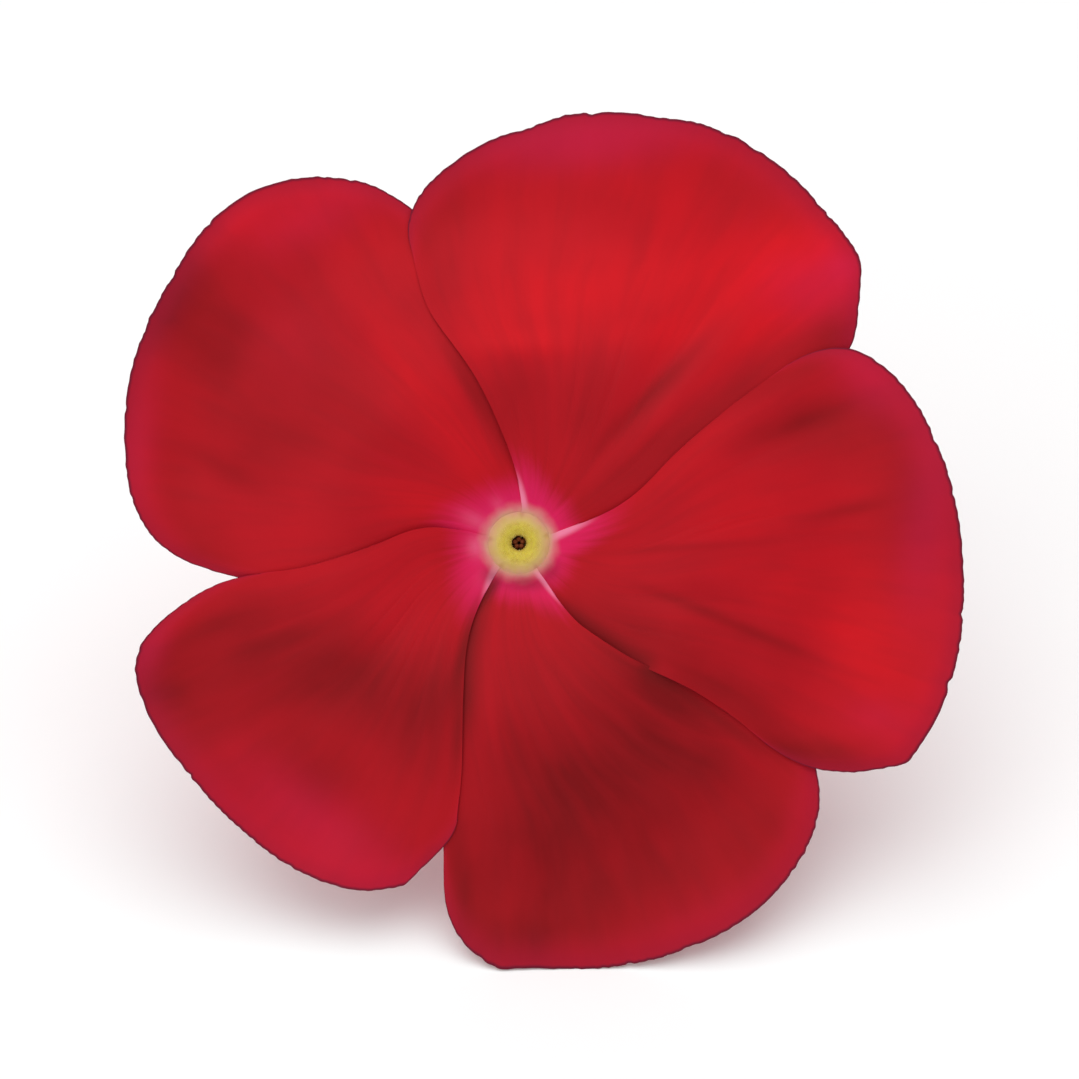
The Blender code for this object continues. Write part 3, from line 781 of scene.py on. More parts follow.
def petal_object(name, skins):
    """A finished petal, laid down in its place."""
    points, measures = petal_sheet(name)
    swell = ease(measures["from_edge"], 0.0, THIN_MARGIN) * ease(measures["from_eye"], *THICKENS)
    offset = surface_directions(points) * (THIN + (THICK - THIN) * swell)[..., None] / 2
    layers = np.concatenate(((points + offset).reshape(-1, 3), (points - offset).reshape(-1, 3)))
    faces, side = two_sided_faces(ROWS, COLUMNS)
    mesh = bpy.data.meshes.new(name)
    mesh.from_pydata((layers * MM).tolist(), [], faces.tolist())
    mesh.transform(lay_down)
    for key, values in measures.items():
        one_side = values.reshape(points.shape[0] * points.shape[1], -1)
        keep_measure(mesh, key, np.concatenate((one_side, one_side)))
    for skin in skins:
        mesh.materials.append(skin)
    mesh.polygons.foreach_set("material_index", side.astype(np.int32))
    mesh.shade_smooth()
    rest_on_surface(mesh)
    return new_object(name, mesh)


print("a petal is", THIN, "to", THICK, "mm thick")

# %% [markdown]
# ## Colours and a helper for nodes
#
# Colours are written as the hex codes that a picture editor shows, which are sRGB. Blender's shaders work
# in linear light, so one function converts them. A second small function adds a node of any kind, sets
# its options, fills or links its inputs and gives back an output, so that a material reads as a list of
# steps. The same could be drawn by hand in the node editor; in a script it can be read, compared and
# repeated.
#
# Most colours here are laid over one another like washes of paint: full where some measure is small, gone
# where it is large.

# %% Colour and node helpers
MATH = "ShaderNodeMath"
MEASURE = "ShaderNodeAttribute"


def linear(value):
    """One sRGB channel, 0 to 1, as linear light."""
    return value / 12.92 if value <= 0.04045 else ((value + 0.055) / 1.055) ** 2.4


def colour(code):
    """A hex colour such as #C9202A as linear RGBA."""
    return tuple(linear(int(code[i : i + 2], 16) / 255) for i in (1, 3, 5)) + (1.0,)


def add(tree, kind, inputs=(), out=0, **options):
    """Adds a node and gives back one of its outputs, if it has any.

    The inputs are a list in the node's own order, or a dict by name or place. Each is a plain value, or
    another node's output to link.
    """
    node = tree.nodes.new(kind)
    for key, value in options.items():
        setattr(node, key, value)
    for key, value in inputs.items() if isinstance(inputs, dict) else enumerate(inputs):
        if isinstance(value, bpy.types.NodeSocket):
            tree.links.new(value, node.inputs[key])
        else:
            node.inputs[key].default_value = value
    return node.outputs[out] if len(node.outputs) else None


def wash(tree, skin, code, measure, full, gone, strength=1.0):
    """Lays a colour over a skin: at its strength where a measure is at full, and none of it at gone.

    The measure is a node's output, or the name of one that the mesh carries.
    """
    if isinstance(measure, str):
        measure = add(tree, MEASURE, out="Fac", attribute_name=measure)
    inputs = (measure, full, gone, strength, 0.0)
    share = add(tree, "ShaderNodeMapRange", inputs, interpolation_type="SMOOTHSTEP")
    return add(tree, "ShaderNodeMix", {0: share, 6: skin, 7: colour(code)}, out=2, data_type="RGBA")


def new_material(name):
    """An empty material and its node tree."""
    made = bpy.data.materials.new(name)
    made.use_nodes = True
    made.node_tree.nodes.clear()
    return made, made.node_tree


def finished(made, finish):
    """A material with its last two nodes: one shader with the settings of its finish, and the output."""
    shader = add(made.node_tree, "ShaderNodeBsdfPrincipled", finish)
    add(made.node_tree, "ShaderNodeOutputMaterial", {"Surface": shader})
    return made


print("a petal red in linear light:", [round(v, 3) for v in colour("#B00C1A")])

# %% [markdown]
# ## Patterns of a real size
#
# Two patterns are enough for a petal. Patches are soft clouds a few millimetres wide, where the skin holds
# more or less pigment. Veins are noise drawn out along the petal: it changes quickly across and slowly
# outwards. An image would do it too, but it would be one petal's picture and would blur close up.
#
# The sizes are those of a live petal. Its veins are about 0.9 mm apart where it is broadest, and its skin
# cells stand up as cones 0.03 mm wide. The cones are too fine to show, so that grain is drawn five times
# as coarse.

# %% Patches and veins
PATCH_SIZE = 5.0
VEIN_SPACING = 0.9
VEIN_LENGTH = 7.0
CELL_SIZE = 0.15


def patches(tree, size, detail=2.0):
    """Soft clouds so many millimetres wide, 0 to 1."""
    place = add(tree, "ShaderNodeTexCoord", out="Object")
    return add(tree, "ShaderNodeTexNoise", {"Vector": place, "Scale": 1 / (size * MM), "Detail": detail})


def veins(tree, spacing, length, detail=3.0):
    """Noise drawn out along the petal, 0 to 1: its spacing across and its length outwards, in mm."""
    grain = add(tree, MEASURE, out="Vector", attribute_name="grain")
    drawn = add(tree, "ShaderNodeVectorMath", (grain, (1 / spacing, 1 / length, 1.0)), operation="MULTIPLY")
    return add(tree, "ShaderNodeTexNoise", {"Vector": drawn, "Scale": 1.0, "Detail": detail})


print("veins over a petal:", round(2 * HALF_WIDTH / VEIN_SPACING))

# %% [markdown]
# ## The petal's upper side
#
# This is live petal skin, grown as a layer of upright cone-shaped cells full of red sap. To the eye that
# gives a deep velvety red that hardly shines: the cones trap the light, so the gloss is low, the
# roughness high, and a trace of sheen brightens the skin where it turns away.
#
# The red is never flat. Patches come and go, and the rim is pinker and ends in a thin dark line. The tones
# are partly painted light and shade, and painted shade darkens the skin under a neighbour's edge. Round the
# eye the red turns to magenta, then pales into rose, cream and yellow rings, and the upper edge of every
# petal starts as a nearly white line.
#
# Each of these could be its own piece of geometry. The colours are one skin on the real petal, so they are
# washes over one colour here, and so are the painted light and shade.

# %% Rings, and tones with painted light and shade
RINGS = (("#CC8880", 1.90, 2.80), ("#C8AA6A", 1.55, 2.35), ("#CDBB44", 1.05, 1.75))
RING_PATCH_SIZE = 0.8
RING_UNEVENNESS = 0.45
PATCH_STRENGTH = 0.5
BROAD_VEIN_STRENGTH = 0.3


def ring_colours(tree, skin, measure):
    """The rings round the mouth laid over a skin, by its distance from the axis: rose, cream and yellow."""
    distance = add(tree, MEASURE, out="Fac", attribute_name=measure)
    clouds = patches(tree, RING_PATCH_SIZE)
    uneven = add(tree, MATH, (clouds, RING_UNEVENNESS, distance), operation="MULTIPLY_ADD")
    for code, full, gone in RINGS:
        skin = wash(tree, skin, code, uneven, full, gone)
    return skin


def tone_and_light_share(tree, sign):
    """How much darker (-1) or brighter (1) the skin is: the tones, partly painted light and shade, then soft
    patches and broad veins.
    """
    streaks = add(tree, MATH, (veins(tree, 1.5 * VEIN_SPACING, VEIN_LENGTH), 0.5), operation="ADD")
    tone_and_painted_light = add(tree, MEASURE, out="Fac", attribute_name="tone_and_painted_light")
    total = add(tree, MATH, (tone_and_painted_light, streaks), operation="MULTIPLY")
    clouds = patches(tree, PATCH_SIZE)
    broad = veins(tree, 4 * VEIN_SPACING, 2 * VEIN_LENGTH, detail=1.0)
    for noise, strength in ((clouds, PATCH_STRENGTH), (broad, BROAD_VEIN_STRENGTH)):
        either_way = add(tree, MATH, (noise, strength, -strength / 2), operation="MULTIPLY_ADD")
        total = add(tree, MATH, (total, either_way), operation="ADD")
    return add(tree, MATH, (total, sign), operation="MULTIPLY")


print("rings end at", [gone for _, _, gone in RINGS], "mm from the axis, before they are made uneven")

# %% Petal face material
PETAL_RED = "#B00C1A"
PETAL_DARK_AND_SHADE = "#7A050C"
PETAL_BRIGHT_AND_LIT = "#D80E1A"
VEIN_RED = "#7A0F18"
RIM_PINK = "#CF1A48"
RIM_DARK = "#8A0F2A"
EDGE_DARK = "#5A0E28"
SHADE_RED = "#660A0C"
MAGENTA = "#D21A56"
PALE_PINK = "#F08CAC"
GLOW_UNEVENNESS = 0.5


def petal_face_material():
    """Live petal skin, upper side."""
    made, tree = new_material("petal skin, velvety red")
    fine = veins(tree, VEIN_SPACING, VEIN_LENGTH)
    skin = colour(PETAL_RED)
    # The tones darken and brighten the red: patches and veins of the skin, and painted light and shade.
    for code, sign in ((PETAL_DARK_AND_SHADE, -1.0), (PETAL_BRIGHT_AND_LIT, 1.0)):
        inputs = {0: tone_and_light_share(tree, sign), 6: skin, 7: colour(code)}
        skin = add(tree, "ShaderNodeMix", inputs, out=2, data_type="RGBA")
    skin = wash(tree, skin, VEIN_RED, fine, 0.30, 0.60, 0.14)
    skin = wash(tree, skin, RIM_PINK, "from_rim", 0.0, 2.6, 0.18)
    skin = wash(tree, skin, RIM_DARK, "from_rim", 0.0, 1.4, 0.40)
    skin = wash(tree, skin, RIM_PINK, "blush", 1.0, 0.0)

    glow = add(tree, MEASURE, out="Fac", attribute_name="glow")
    uneven = add(tree, MATH, (fine, GLOW_UNEVENNESS, glow), operation="MULTIPLY_ADD")
    skin = wash(tree, skin, MAGENTA, uneven, 1.25, 0.30)
    skin = wash(tree, skin, PALE_PINK, "pale", 1.0, 0.0, 0.8)
    skin = ring_colours(tree, skin, "from_eye")
    # Painted shade under the neighbours' edges and in the dims.
    skin = wash(tree, skin, SHADE_RED, "shade", 1.0, 0.0)
    skin = wash(tree, skin, EDGE_DARK, "from_rim", 0.05, 0.24, 0.8)

    relief = add(tree, MATH, (patches(tree, CELL_SIZE, detail=1.0), 0.3, fine), operation="MULTIPLY_ADD")
    bump = add(tree, "ShaderNodeBump", {"Height": relief, "Strength": 0.12, "Distance": 0.05 * MM})
    finish = {
        "Base Color": skin,
        "Normal": bump,
        "Roughness": 0.62,
        "Specular IOR Level": 0.12,
        "Sheen Weight": 0.03,
        "Sheen Roughness": 0.4,
        "Sheen Tint": colour("#FF5A78"),
        "Subsurface Weight": 0.10,
        "Subsurface Radius": (1.0, 0.15, 0.2),
        "Subsurface Scale": 0.4 * MM,
    }
    return finished(made, finish)


petal_face = petal_face_material()
print(petal_face.name, len(petal_face.node_tree.nodes), "nodes")

# %% [markdown]
# ## The petal's underside
#
# Underneath, the skin has flat cells with little sap. It looks like dull rose paper with darker veins that
# stand out a little, turns cream towards the tube, and keeps the red of the face just at its edge, where
# the face's skin wraps round.

# %% Petal underside material
DULL_ROSE = "#D8707F"
DEEP_ROSE = "#C9566C"
VEIN_ROSE = "#A93A52"
MARGIN_ROSE = "#C02A48"
TUBE_CREAM = "#E3C3A6"


def petal_back_material():
    """Live petal skin, underside."""
    made, tree = new_material("petal skin, dull rose")
    fine = veins(tree, VEIN_SPACING, VEIN_LENGTH, detail=2.0)
    skin = wash(tree, colour(DULL_ROSE), DEEP_ROSE, patches(tree, PATCH_SIZE), 0.0, 1.0)
    skin = wash(tree, skin, VEIN_ROSE, fine, 0.36, 0.60, 0.5)
    skin = wash(tree, skin, TUBE_CREAM, "from_eye", 2.0, 6.5)
    skin = wash(tree, skin, MARGIN_ROSE, "from_edge", 0.2, 1.8, 0.5)
    skin = wash(tree, skin, PETAL_RED, "from_edge", 0.04, 0.32)
    bump = add(tree, "ShaderNodeBump", {"Height": fine, "Strength": 0.5, "Distance": 0.1 * MM})
    finish = {
        "Base Color": skin,
        "Normal": bump,
        "Roughness": 0.6,
        "Specular IOR Level": 0.2,
        "Sheen Weight": 0.1,
        "Sheen Tint": colour("#FFC0C8"),
    }
    return finished(made, finish)


petal_back = petal_back_material()
print(petal_back.name, len(petal_back.node_tree.nodes), "nodes")

# %% Make the petals
petals = {name: petal_object(name, (petal_face, petal_back)) for name in PETALS}
for name, piece in petals.items():
    print(name, len(piece.data.polygons), "faces")

# %% [markdown]
# ## Turned pieces with Geometry Nodes
#
# The eye, the tube and the cup with its stalk all grew round one axis, so a section turned about that axis
# gives each of them. The Spin tool or a Screw modifier would do. Geometry Nodes are chosen because the
# rule stays visible: a flat grid is rolled up, one side of it becomes the way round and the other the way
# along the section, and two Float Curves say how far out and how high each step is.
#
# The curves hold the section's shape and the named inputs its sizes, so one rule serves all of them. Soft
# lobes can be raised round the axis, because five petals are grown together here.

# %% Sections and trees


def section_places(radii, heights):
    """Where each point of a section comes, 0 to 1. Short steps get more than their share, for fine bends."""
    steps = np.hypot(np.diff(radii), np.diff(heights)) ** 0.5
    return np.concatenate(([0.0], np.cumsum(steps))) / steps.sum()


def set_curve(node, places, values):
    """Puts control points on a Float Curve, with no overshoot between them."""
    track = node.mapping.curves[0]
    for place, value in zip(places[1:-1], values[1:-1]):
        track.points.new(place, value)
    for point, place, value in zip(track.points, places, values):
        point.location = (place, value)
        point.handle_type = "AUTO_CLAMPED"
    node.mapping.update()


def new_tree(name, sizes, takes_mesh):
    """A Geometry Nodes tree with named inputs, and the outputs that give their values."""
    tree = bpy.data.node_groups.new(name, "GeometryNodeTree")
    if takes_mesh:
        tree.interface.new_socket("Geometry", in_out="INPUT", socket_type="NodeSocketGeometry")
    for title, kind in sizes.items():
        tree.interface.new_socket(title, in_out="INPUT", socket_type=f"NodeSocket{kind}")
    tree.interface.new_socket("Geometry", in_out="OUTPUT", socket_type="NodeSocketGeometry")
    return tree, tree.nodes.new("NodeGroupInput").outputs


def finish_tree(tree, geometry, skin):
    """Ends a tree: real geometry, not instances, in one material."""
    real = add(tree, "GeometryNodeRealizeInstances", {"Geometry": geometry})
    coated = add(tree, "GeometryNodeSetMaterial", {"Geometry": real, "Material": skin})
    add(tree, "NodeGroupOutput", {"Geometry": coated})


print("steps of 9, 1 and 4 mm come at", section_places((0, 0, 0, 0), (0, 9, 10, 14)).round(2))

# %% Turned piece rule


def turned_tree(name, section):
    """A tree that turns a section of (radius, height) points about Z."""
    sizes = {
        "Widest radius": "Float",
        "Lowest height": "Float",
        "Length": "Float",
        "Steps round": "Int",
        "Steps along": "Int",
        "Lobes": "Float",
        "Lobe depth": "Float",
        "Skin": "Material",
    }
    tree, given = new_tree(name, sizes, False)
    radii, heights = np.array(section, float).T
    places = section_places(radii, heights)

    counts = {"Vertices X": given["Steps round"], "Vertices Y": given["Steps along"]}
    grid = add(tree, "GeometryNodeMeshGrid", {"Size X": 1.0, "Size Y": 1.0, **counts})
    spot = add(tree, "ShaderNodeSeparateXYZ", (add(tree, "GeometryNodeInputPosition"),)).node.outputs
    angle = add(tree, MATH, (spot["X"], 2 * math.pi, math.pi), operation="MULTIPLY_ADD")
    share = add(tree, MATH, (spot["Y"], 0.5), operation="ADD")
    radius = add(tree, "ShaderNodeFloatCurve", {"Value": share})
    set_curve(radius.node, places, radii / radii.max())
    height = add(tree, "ShaderNodeFloatCurve", {"Value": share})
    set_curve(height.node, places, (heights - heights.min()) / np.ptp(heights))

    lobe = add(tree, MATH, (angle, given["Lobes"]), operation="MULTIPLY")
    lobe = add(tree, MATH, (lobe,), operation="COSINE")
    swell = add(tree, MATH, (lobe, given["Lobe depth"], 1.0), operation="MULTIPLY_ADD")
    out = add(tree, MATH, (radius, given["Widest radius"]), operation="MULTIPLY")
    out = add(tree, MATH, (out, swell), operation="MULTIPLY")
    up = add(tree, MATH, (height, given["Length"], given["Lowest height"]), operation="MULTIPLY_ADD")
    place = add(tree, "ShaderNodeCombineXYZ", {"X": out, "Z": up})
    rolled = add(tree, "ShaderNodeVectorRotate", {"Vector": place, "Angle": angle}, rotation_type="Z_AXIS")
    turned = add(tree, "GeometryNodeSetPosition", {"Geometry": grid, "Position": rolled})
    closed = add(tree, "GeometryNodeMergeByDistance", {"Geometry": turned, "Distance": 0.001 * MM})
    finish_tree(tree, add(tree, "GeometryNodeSetShadeSmooth", {"Geometry": closed}), given["Skin"])
    return tree


# %% [markdown]
# ## From a rule to a mesh
#
# A Geometry Nodes modifier can stay live on its object, or its result can be kept. Here each rule is run
# once with its sizes and the result is kept as a plain mesh, so that the piece can be laid down and handed
# over like any other. The mesh also gets measures for its colours: how far each point is from the axis and
# behind the face, and where it is round the axis.

# %% Run a rule and keep its mesh


def grow(name, tree, sizes, start=None):
    """Runs a tree once and keeps its result as a plain mesh on a new object."""
    made = new_object(name, start or bpy.data.meshes.new(name))
    rule = made.modifiers.new("rule", "NODES")
    rule.node_group = tree
    for socket in tree.interface.items_tree:
        if socket.in_out == "INPUT" and socket.name in sizes:
            rule[socket.identifier] = sizes[socket.name]
    graph = bpy.context.evaluated_depsgraph_get()
    final = bpy.data.meshes.new_from_object(made.evaluated_get(graph), depsgraph=graph)
    made.modifiers.remove(rule)
    made.data = final
    final.name = name
    return made


def places_mm(mesh):
    """The x, y and z of a mesh's points, in millimetres."""
    places = np.empty(len(mesh.vertices) * 3, np.float32)
    mesh.vertices.foreach_get("co", places)
    return places.reshape(-1, 3).T / MM


def keep_axis_measures(mesh):
    """Stores how far each point is from the axis and behind the face, and its angle round the axis."""
    x, y, z = places_mm(mesh)
    for key, values in (("from_axis", np.hypot(x, y)), ("from_face", -z), ("round", np.arctan2(y, x))):
        keep_measure(mesh, key, values)


def turned_piece(name, section, skin, steps_round, steps_along, lobe_depth=0.0):
    """A turned piece in the flower's own frame."""
    radii, heights = np.array(section, float).T
    sizes = {
        "Widest radius": float(radii.max()) * MM,
        "Lowest height": float(heights.min()) * MM,
        "Length": float(np.ptp(heights)) * MM,
        "Steps round": steps_round + 1,
        "Steps along": steps_along + 1,
        "Lobes": 5.0,
        "Lobe depth": lobe_depth,
        "Skin": skin,
    }
    made = grow(name, turned_tree(name, section), sizes)
    keep_axis_measures(made.data)
    print(name, len(made.data.polygons), "faces")
    return made


top_reach = places_mm(petals["petal_top"].data)[2].max().round(1)
print("the top petal reaches", top_reach, "mm above the table")

# %% [markdown]
# ## The eye
#
# The eye is where all five petals have grown together: a low soft ring round the mouth of the tube. Its
# skin is petal skin with yellow sap and short soft hairs, so it looks matt and a little waxy, and light
# sinks into it. The colour runs from butter yellow at the mouth through cream to the pale rose where the
# petals begin, in the same rings as on the petals, so that no edge shows between the pieces. A little
# painted shade darkens the end of each seam. Inside the mouth the skin is brown, and behind the petals it
# is cream like the tube.

# %% Eye
EYE_SECTION = (
    (0.80, -1.30),
    (0.80, -0.90),
    (1.30, -0.66),
    (1.80, -0.40),
    (2.10, -0.22),
    (2.06, -0.14),
    (1.95, -0.09),
    (1.80, -0.01),
    (1.50, 0.12),
    (1.20, 0.19),
    (0.92, 0.18),
    (0.66, 0.06),
    (0.49, -0.10),
    (0.42, -0.35),
    (0.41, -1.28),
    (0.60, -1.30),
    (0.80, -1.30),
)
SEAM_SHADE_HALF_ANGLE = 0.09
SEAM_SHADE_FROM = 1.25
THROAT_RADIUS = 0.55
THROAT_DEEPENS = (0.10, 0.40)
EYE_PATCH_SIZE = 0.5
EYE_ROSE = "#DB6C74"
EYE_OLIVE = "#B7A22C"
BRIM_BROWN = "#A8803C"
SEAM_SHADE_BROWN = "#8E3A2C"
THROAT_BROWN = "#96501E"


def seam_end_shades(mesh):
    """Where painted shade falls at the end of each seam between two petals: 1 there, 0 elsewhere."""
    x, y, _ = places_mm(mesh)
    total = np.zeros_like(x)
    for petal in PETALS.values():
        seam = math.radians(petal["left_deg"][0])
        apart = np.angle(np.exp(1j * (np.arctan2(y, x) - seam)))
        total += np.exp(-((apart / SEAM_SHADE_HALF_ANGLE) ** 2))
    return total * ease(np.hypot(x, y), SEAM_SHADE_FROM, EYE_EDGE_RADIUS)


def throat_depth(mesh):
    """1 inside the mouth, rising from 0 at its brim, and 0 all over the outside."""
    x, y, z = places_mm(mesh)
    return ease(-z, *THROAT_DEEPENS) * (np.hypot(x, y) < THROAT_RADIUS)


def eye_material():
    """Petal skin with yellow sap."""
    made, tree = new_material("eye skin, waxy yellow")
    skin = ring_colours(tree, colour(EYE_ROSE), "from_axis")
    skin = wash(tree, skin, EYE_OLIVE, patches(tree, EYE_PATCH_SIZE), 0.35, 0.55, 0.2)
    skin = wash(tree, skin, BRIM_BROWN, "from_axis", 0.42, 0.62, 0.5)
    # Painted shade at the end of each seam.
    skin = wash(tree, skin, SEAM_SHADE_BROWN, "seam_end_shade", 1.0, 0.0, 0.22)
    skin = wash(tree, skin, TUBE_CREAM, "from_face", 0.40, 0.20)
    skin = wash(tree, skin, THROAT_BROWN, "throat", 1.0, 0.0)
    finish = {
        "Base Color": skin,
        "Roughness": 0.6,
        "Specular IOR Level": 0.2,
        "Subsurface Weight": 0.15,
        "Subsurface Radius": (1.0, 0.7, 0.2),
        "Subsurface Scale": 0.3 * MM,
    }
    return finished(made, finish)


eye = turned_piece("eye", EYE_SECTION, eye_material(), steps_round=160, steps_along=150, lobe_depth=0.008)
keep_measure(eye.data, "seam_end_shade", seam_end_shades(eye.data))
keep_measure(eye.data, "throat", throat_depth(eye.data))

# %% [markdown]
# ## The tube
#
# Behind the face a slender tube runs back to the calyx. It swells a little where the anthers sit, and
# then flares out until it meets the petals. Its skin is thin and juicy, pale green with a flush of rose
# towards the face: it is smoother than a petal, has a soft gloss along its fine ribs, and the light goes
# into it a little.

# %% Tube
TUBE_SECTION = (
    (0.0, -26.8),
    (0.70, -26.8),
    (0.88, -26.4),
    (0.92, -22.0),
    (0.92, -17.0),
    (1.02, -12.0),
    (1.35, -8.5),
    (1.48, -6.0),
    (1.40, -3.8),
    (1.50, -2.8),
    (1.80, -1.9),
    (2.25, -1.1),
    (2.72, -0.45),
    (3.00, -0.04),
    (3.00, 0.08),
    (2.88, 0.05),
    (2.35, -0.32),
    (1.95, -0.62),
    (1.60, -0.95),
    (1.35, -1.10),
    (1.18, -1.25),
    (1.12, -1.55),
    (0.62, -1.70),
    (0.55, -2.2),
    (0.55, -25.4),
    (0.0, -25.6),
)
RIBS = 15.0
MOTTLE_SIZE = 2.5
PORE_SIZE = 0.25


def green_material(name, young, old, rib_strength, flush=None, flush_full=0.0, flush_gone=0.0):
    """Juicy green plant skin with fine ribs along the axis, and a flush where it is nearest the face."""
    made, tree = new_material(name)
    way_round = add(tree, MEASURE, out="Fac", attribute_name="round")
    ribs = add(tree, MATH, (way_round, RIBS), operation="MULTIPLY")
    ribs = add(tree, MATH, (ribs,), operation="COSINE")
    skin = wash(tree, colour(young), old, patches(tree, MOTTLE_SIZE, detail=3.0), 1.0, 0.0)
    skin = wash(tree, skin, old, ribs, 0.2, 1.0, 0.12)
    if flush:
        skin = wash(tree, skin, flush, "from_face", flush_full, flush_gone)
    relief = add(tree, MATH, (ribs, rib_strength, patches(tree, PORE_SIZE)), operation="MULTIPLY_ADD")
    bump = add(tree, "ShaderNodeBump", {"Height": relief, "Strength": 0.4, "Distance": 0.05 * MM})
    finish = {
        "Base Color": skin,
        "Normal": bump,
        "Roughness": 0.48,
        "Specular IOR Level": 0.35,
        "Subsurface Weight": 0.15,
        "Subsurface Radius": (0.6, 1.0, 0.3),
        "Subsurface Scale": 0.5 * MM,
    }
    return finished(made, finish)


FLUSH = {"flush": "#E2B7A6", "flush_full": 1.0, "flush_gone": 7.0}
tube_skin = green_material("tube skin, pale green", "#C9CF9A", "#B3BD80", rib_strength=0.6, **FLUSH)
tube = turned_piece("tube", TUBE_SECTION, tube_skin, steps_round=96, steps_along=220, lobe_depth=0.012)

# %% [markdown]
# ## A ring of repeats
#
# Two things stand in a ring of five: the sepals round the cup, and the anthers inside the tube, whose
# brown tips are the dark spot in the middle of the eye. Each could be copied by hand with a Spin. A
# Geometry Nodes rule does it for both: points on a circle, one copy on each, leaned and turned, each a
# little longer or shorter.

# %% Ring rule


def ring_tree():
    """A tree that repeats its mesh round a circle about Z."""
    sizes = {
        "Count": "Int",
        "Ring radius": "Float",
        "Height": "Float",
        "Lean": "Float",
        "Turn": "Float",
        "Shortest": "Float",
        "Seed": "Int",
        "Skin": "Material",
    }
    tree, given = new_tree("ring of five", sizes, True)
    round_axis = {"Vertices": given["Count"], "Radius": given["Ring radius"]}
    circle = add(tree, "GeometryNodeMeshCircle", round_axis)
    step = add(tree, MATH, (2 * math.pi, given["Count"]), operation="DIVIDE")
    angle = add(tree, MATH, (add(tree, "GeometryNodeInputIndex"), step), operation="MULTIPLY")
    facing = add(tree, "ShaderNodeCombineXYZ", {"Y": given["Lean"], "Z": angle})
    range_of_lengths = {2: given["Shortest"], 3: 1.0, "Seed": given["Seed"]}
    length = add(tree, "FunctionNodeRandomValue", range_of_lengths, out=1, data_type="FLOAT")
    copies = {"Points": circle, "Instance": given["Geometry"], "Rotation": facing, "Scale": length}
    ring = add(tree, "GeometryNodeInstanceOnPoints", copies)
    lift = add(tree, "ShaderNodeCombineXYZ", {"Z": given["Height"]})
    turn = add(tree, "ShaderNodeCombineXYZ", {"Z": given["Turn"]})
    moved = add(tree, "GeometryNodeTransform", {"Geometry": ring, "Translation": lift, "Rotation": turn})
    finish_tree(tree, moved, given["Skin"])
    return tree


ring_of_five = ring_tree()
print(ring_of_five.name, len(ring_of_five.nodes), "nodes")

# %% [markdown]
# ## The anthers in the mouth
#
# Five anthers lean together in the top of the tube and nearly close it. Only their tips show, brown and
# dull like dry paper, deep in a hole that is 0.8 mm wide. A flat brown disc would do from the front, but
# the hole is lit from many sides, and real tips catch that light as the live ones do.

# %% Anthers
ANTHER_LENGTH = 1.95
ANTHER_RADIUS = 0.17
ANTHER_STEPS = 14
ANTHER_SIDES = 12
ANTHER_BLUNTNESS = 5
ANTHER_TIP_RADIUS = 0.01
POLLEN_SIZE = 0.08
ANTHER_RING = {
    "Count": 5,
    "Ring radius": 0.42 * MM,
    "Height": -2.17 * MM,
    "Lean": math.radians(-6.5),
    "Turn": math.radians(20.0),
    "Shortest": 0.96,
    "Seed": 2,
}


def tube_of_rings(name, rings):
    """A closed smooth mesh through rings of points, from root to tip.

    Seen from the tip, each ring goes round counterclockwise.
    """
    steps, sides, _ = rings.shape
    faces = []
    for i in range(steps - 1):
        for j in range(sides):
            n = (j + 1) % sides
            faces.append((i * sides + j, i * sides + n, (i + 1) * sides + n, (i + 1) * sides + j))
    faces.append(tuple(reversed(range(sides))))
    faces.append(tuple((steps - 1) * sides + j for j in range(sides)))
    mesh = bpy.data.meshes.new(name)
    mesh.from_pydata((rings.reshape(-1, 3) * MM).tolist(), [], faces)
    mesh.shade_smooth()
    return mesh


def anther_mesh():
    """A blunt spindle along Z from the origin."""
    way_round = np.linspace(0, 2 * math.pi, ANTHER_SIDES, endpoint=False)
    along, angle = np.meshgrid(np.linspace(0, 1, ANTHER_STEPS), way_round, indexing="ij")
    fullness = (1 - np.abs(2 * along - 1) ** ANTHER_BLUNTNESS) ** 0.5
    radius = ANTHER_RADIUS * fullness + ANTHER_TIP_RADIUS
    x, y = radius * np.cos(angle), radius * np.sin(angle)
    return tube_of_rings("anther", np.stack((x, y, ANTHER_LENGTH * along), axis=-1))


def anther_material():
    """Dry brown pollen sac: dull, with a fine grain."""
    made, tree = new_material("anther, dry brown")
    grain = patches(tree, POLLEN_SIZE)
    skin = wash(tree, colour("#8E4A2A"), "#6E3418", grain, 0.3, 0.7)
    bump = add(tree, "ShaderNodeBump", {"Height": grain, "Strength": 0.5, "Distance": 0.01 * MM})
    finish = {"Base Color": skin, "Normal": bump, "Roughness": 0.8, "Specular IOR Level": 0.2}
    return finished(made, finish)


anthers = grow("anthers", ring_of_five, {**ANTHER_RING, "Skin": anther_material()}, anther_mesh())
tips_at = places_mm(anthers.data)[2].max().round(2)
print("anthers", len(anthers.data.polygons), "faces, tips at", tips_at, "mm")

# %% [markdown]
# ## The calyx and the stalk
#
# The tube stands in a small green cup with five narrow sepals, on a short cut stalk. The skin is that of a
# leaf: thicker and more even than the tube's, with a soft waxy gloss. The cup is one more turned piece.

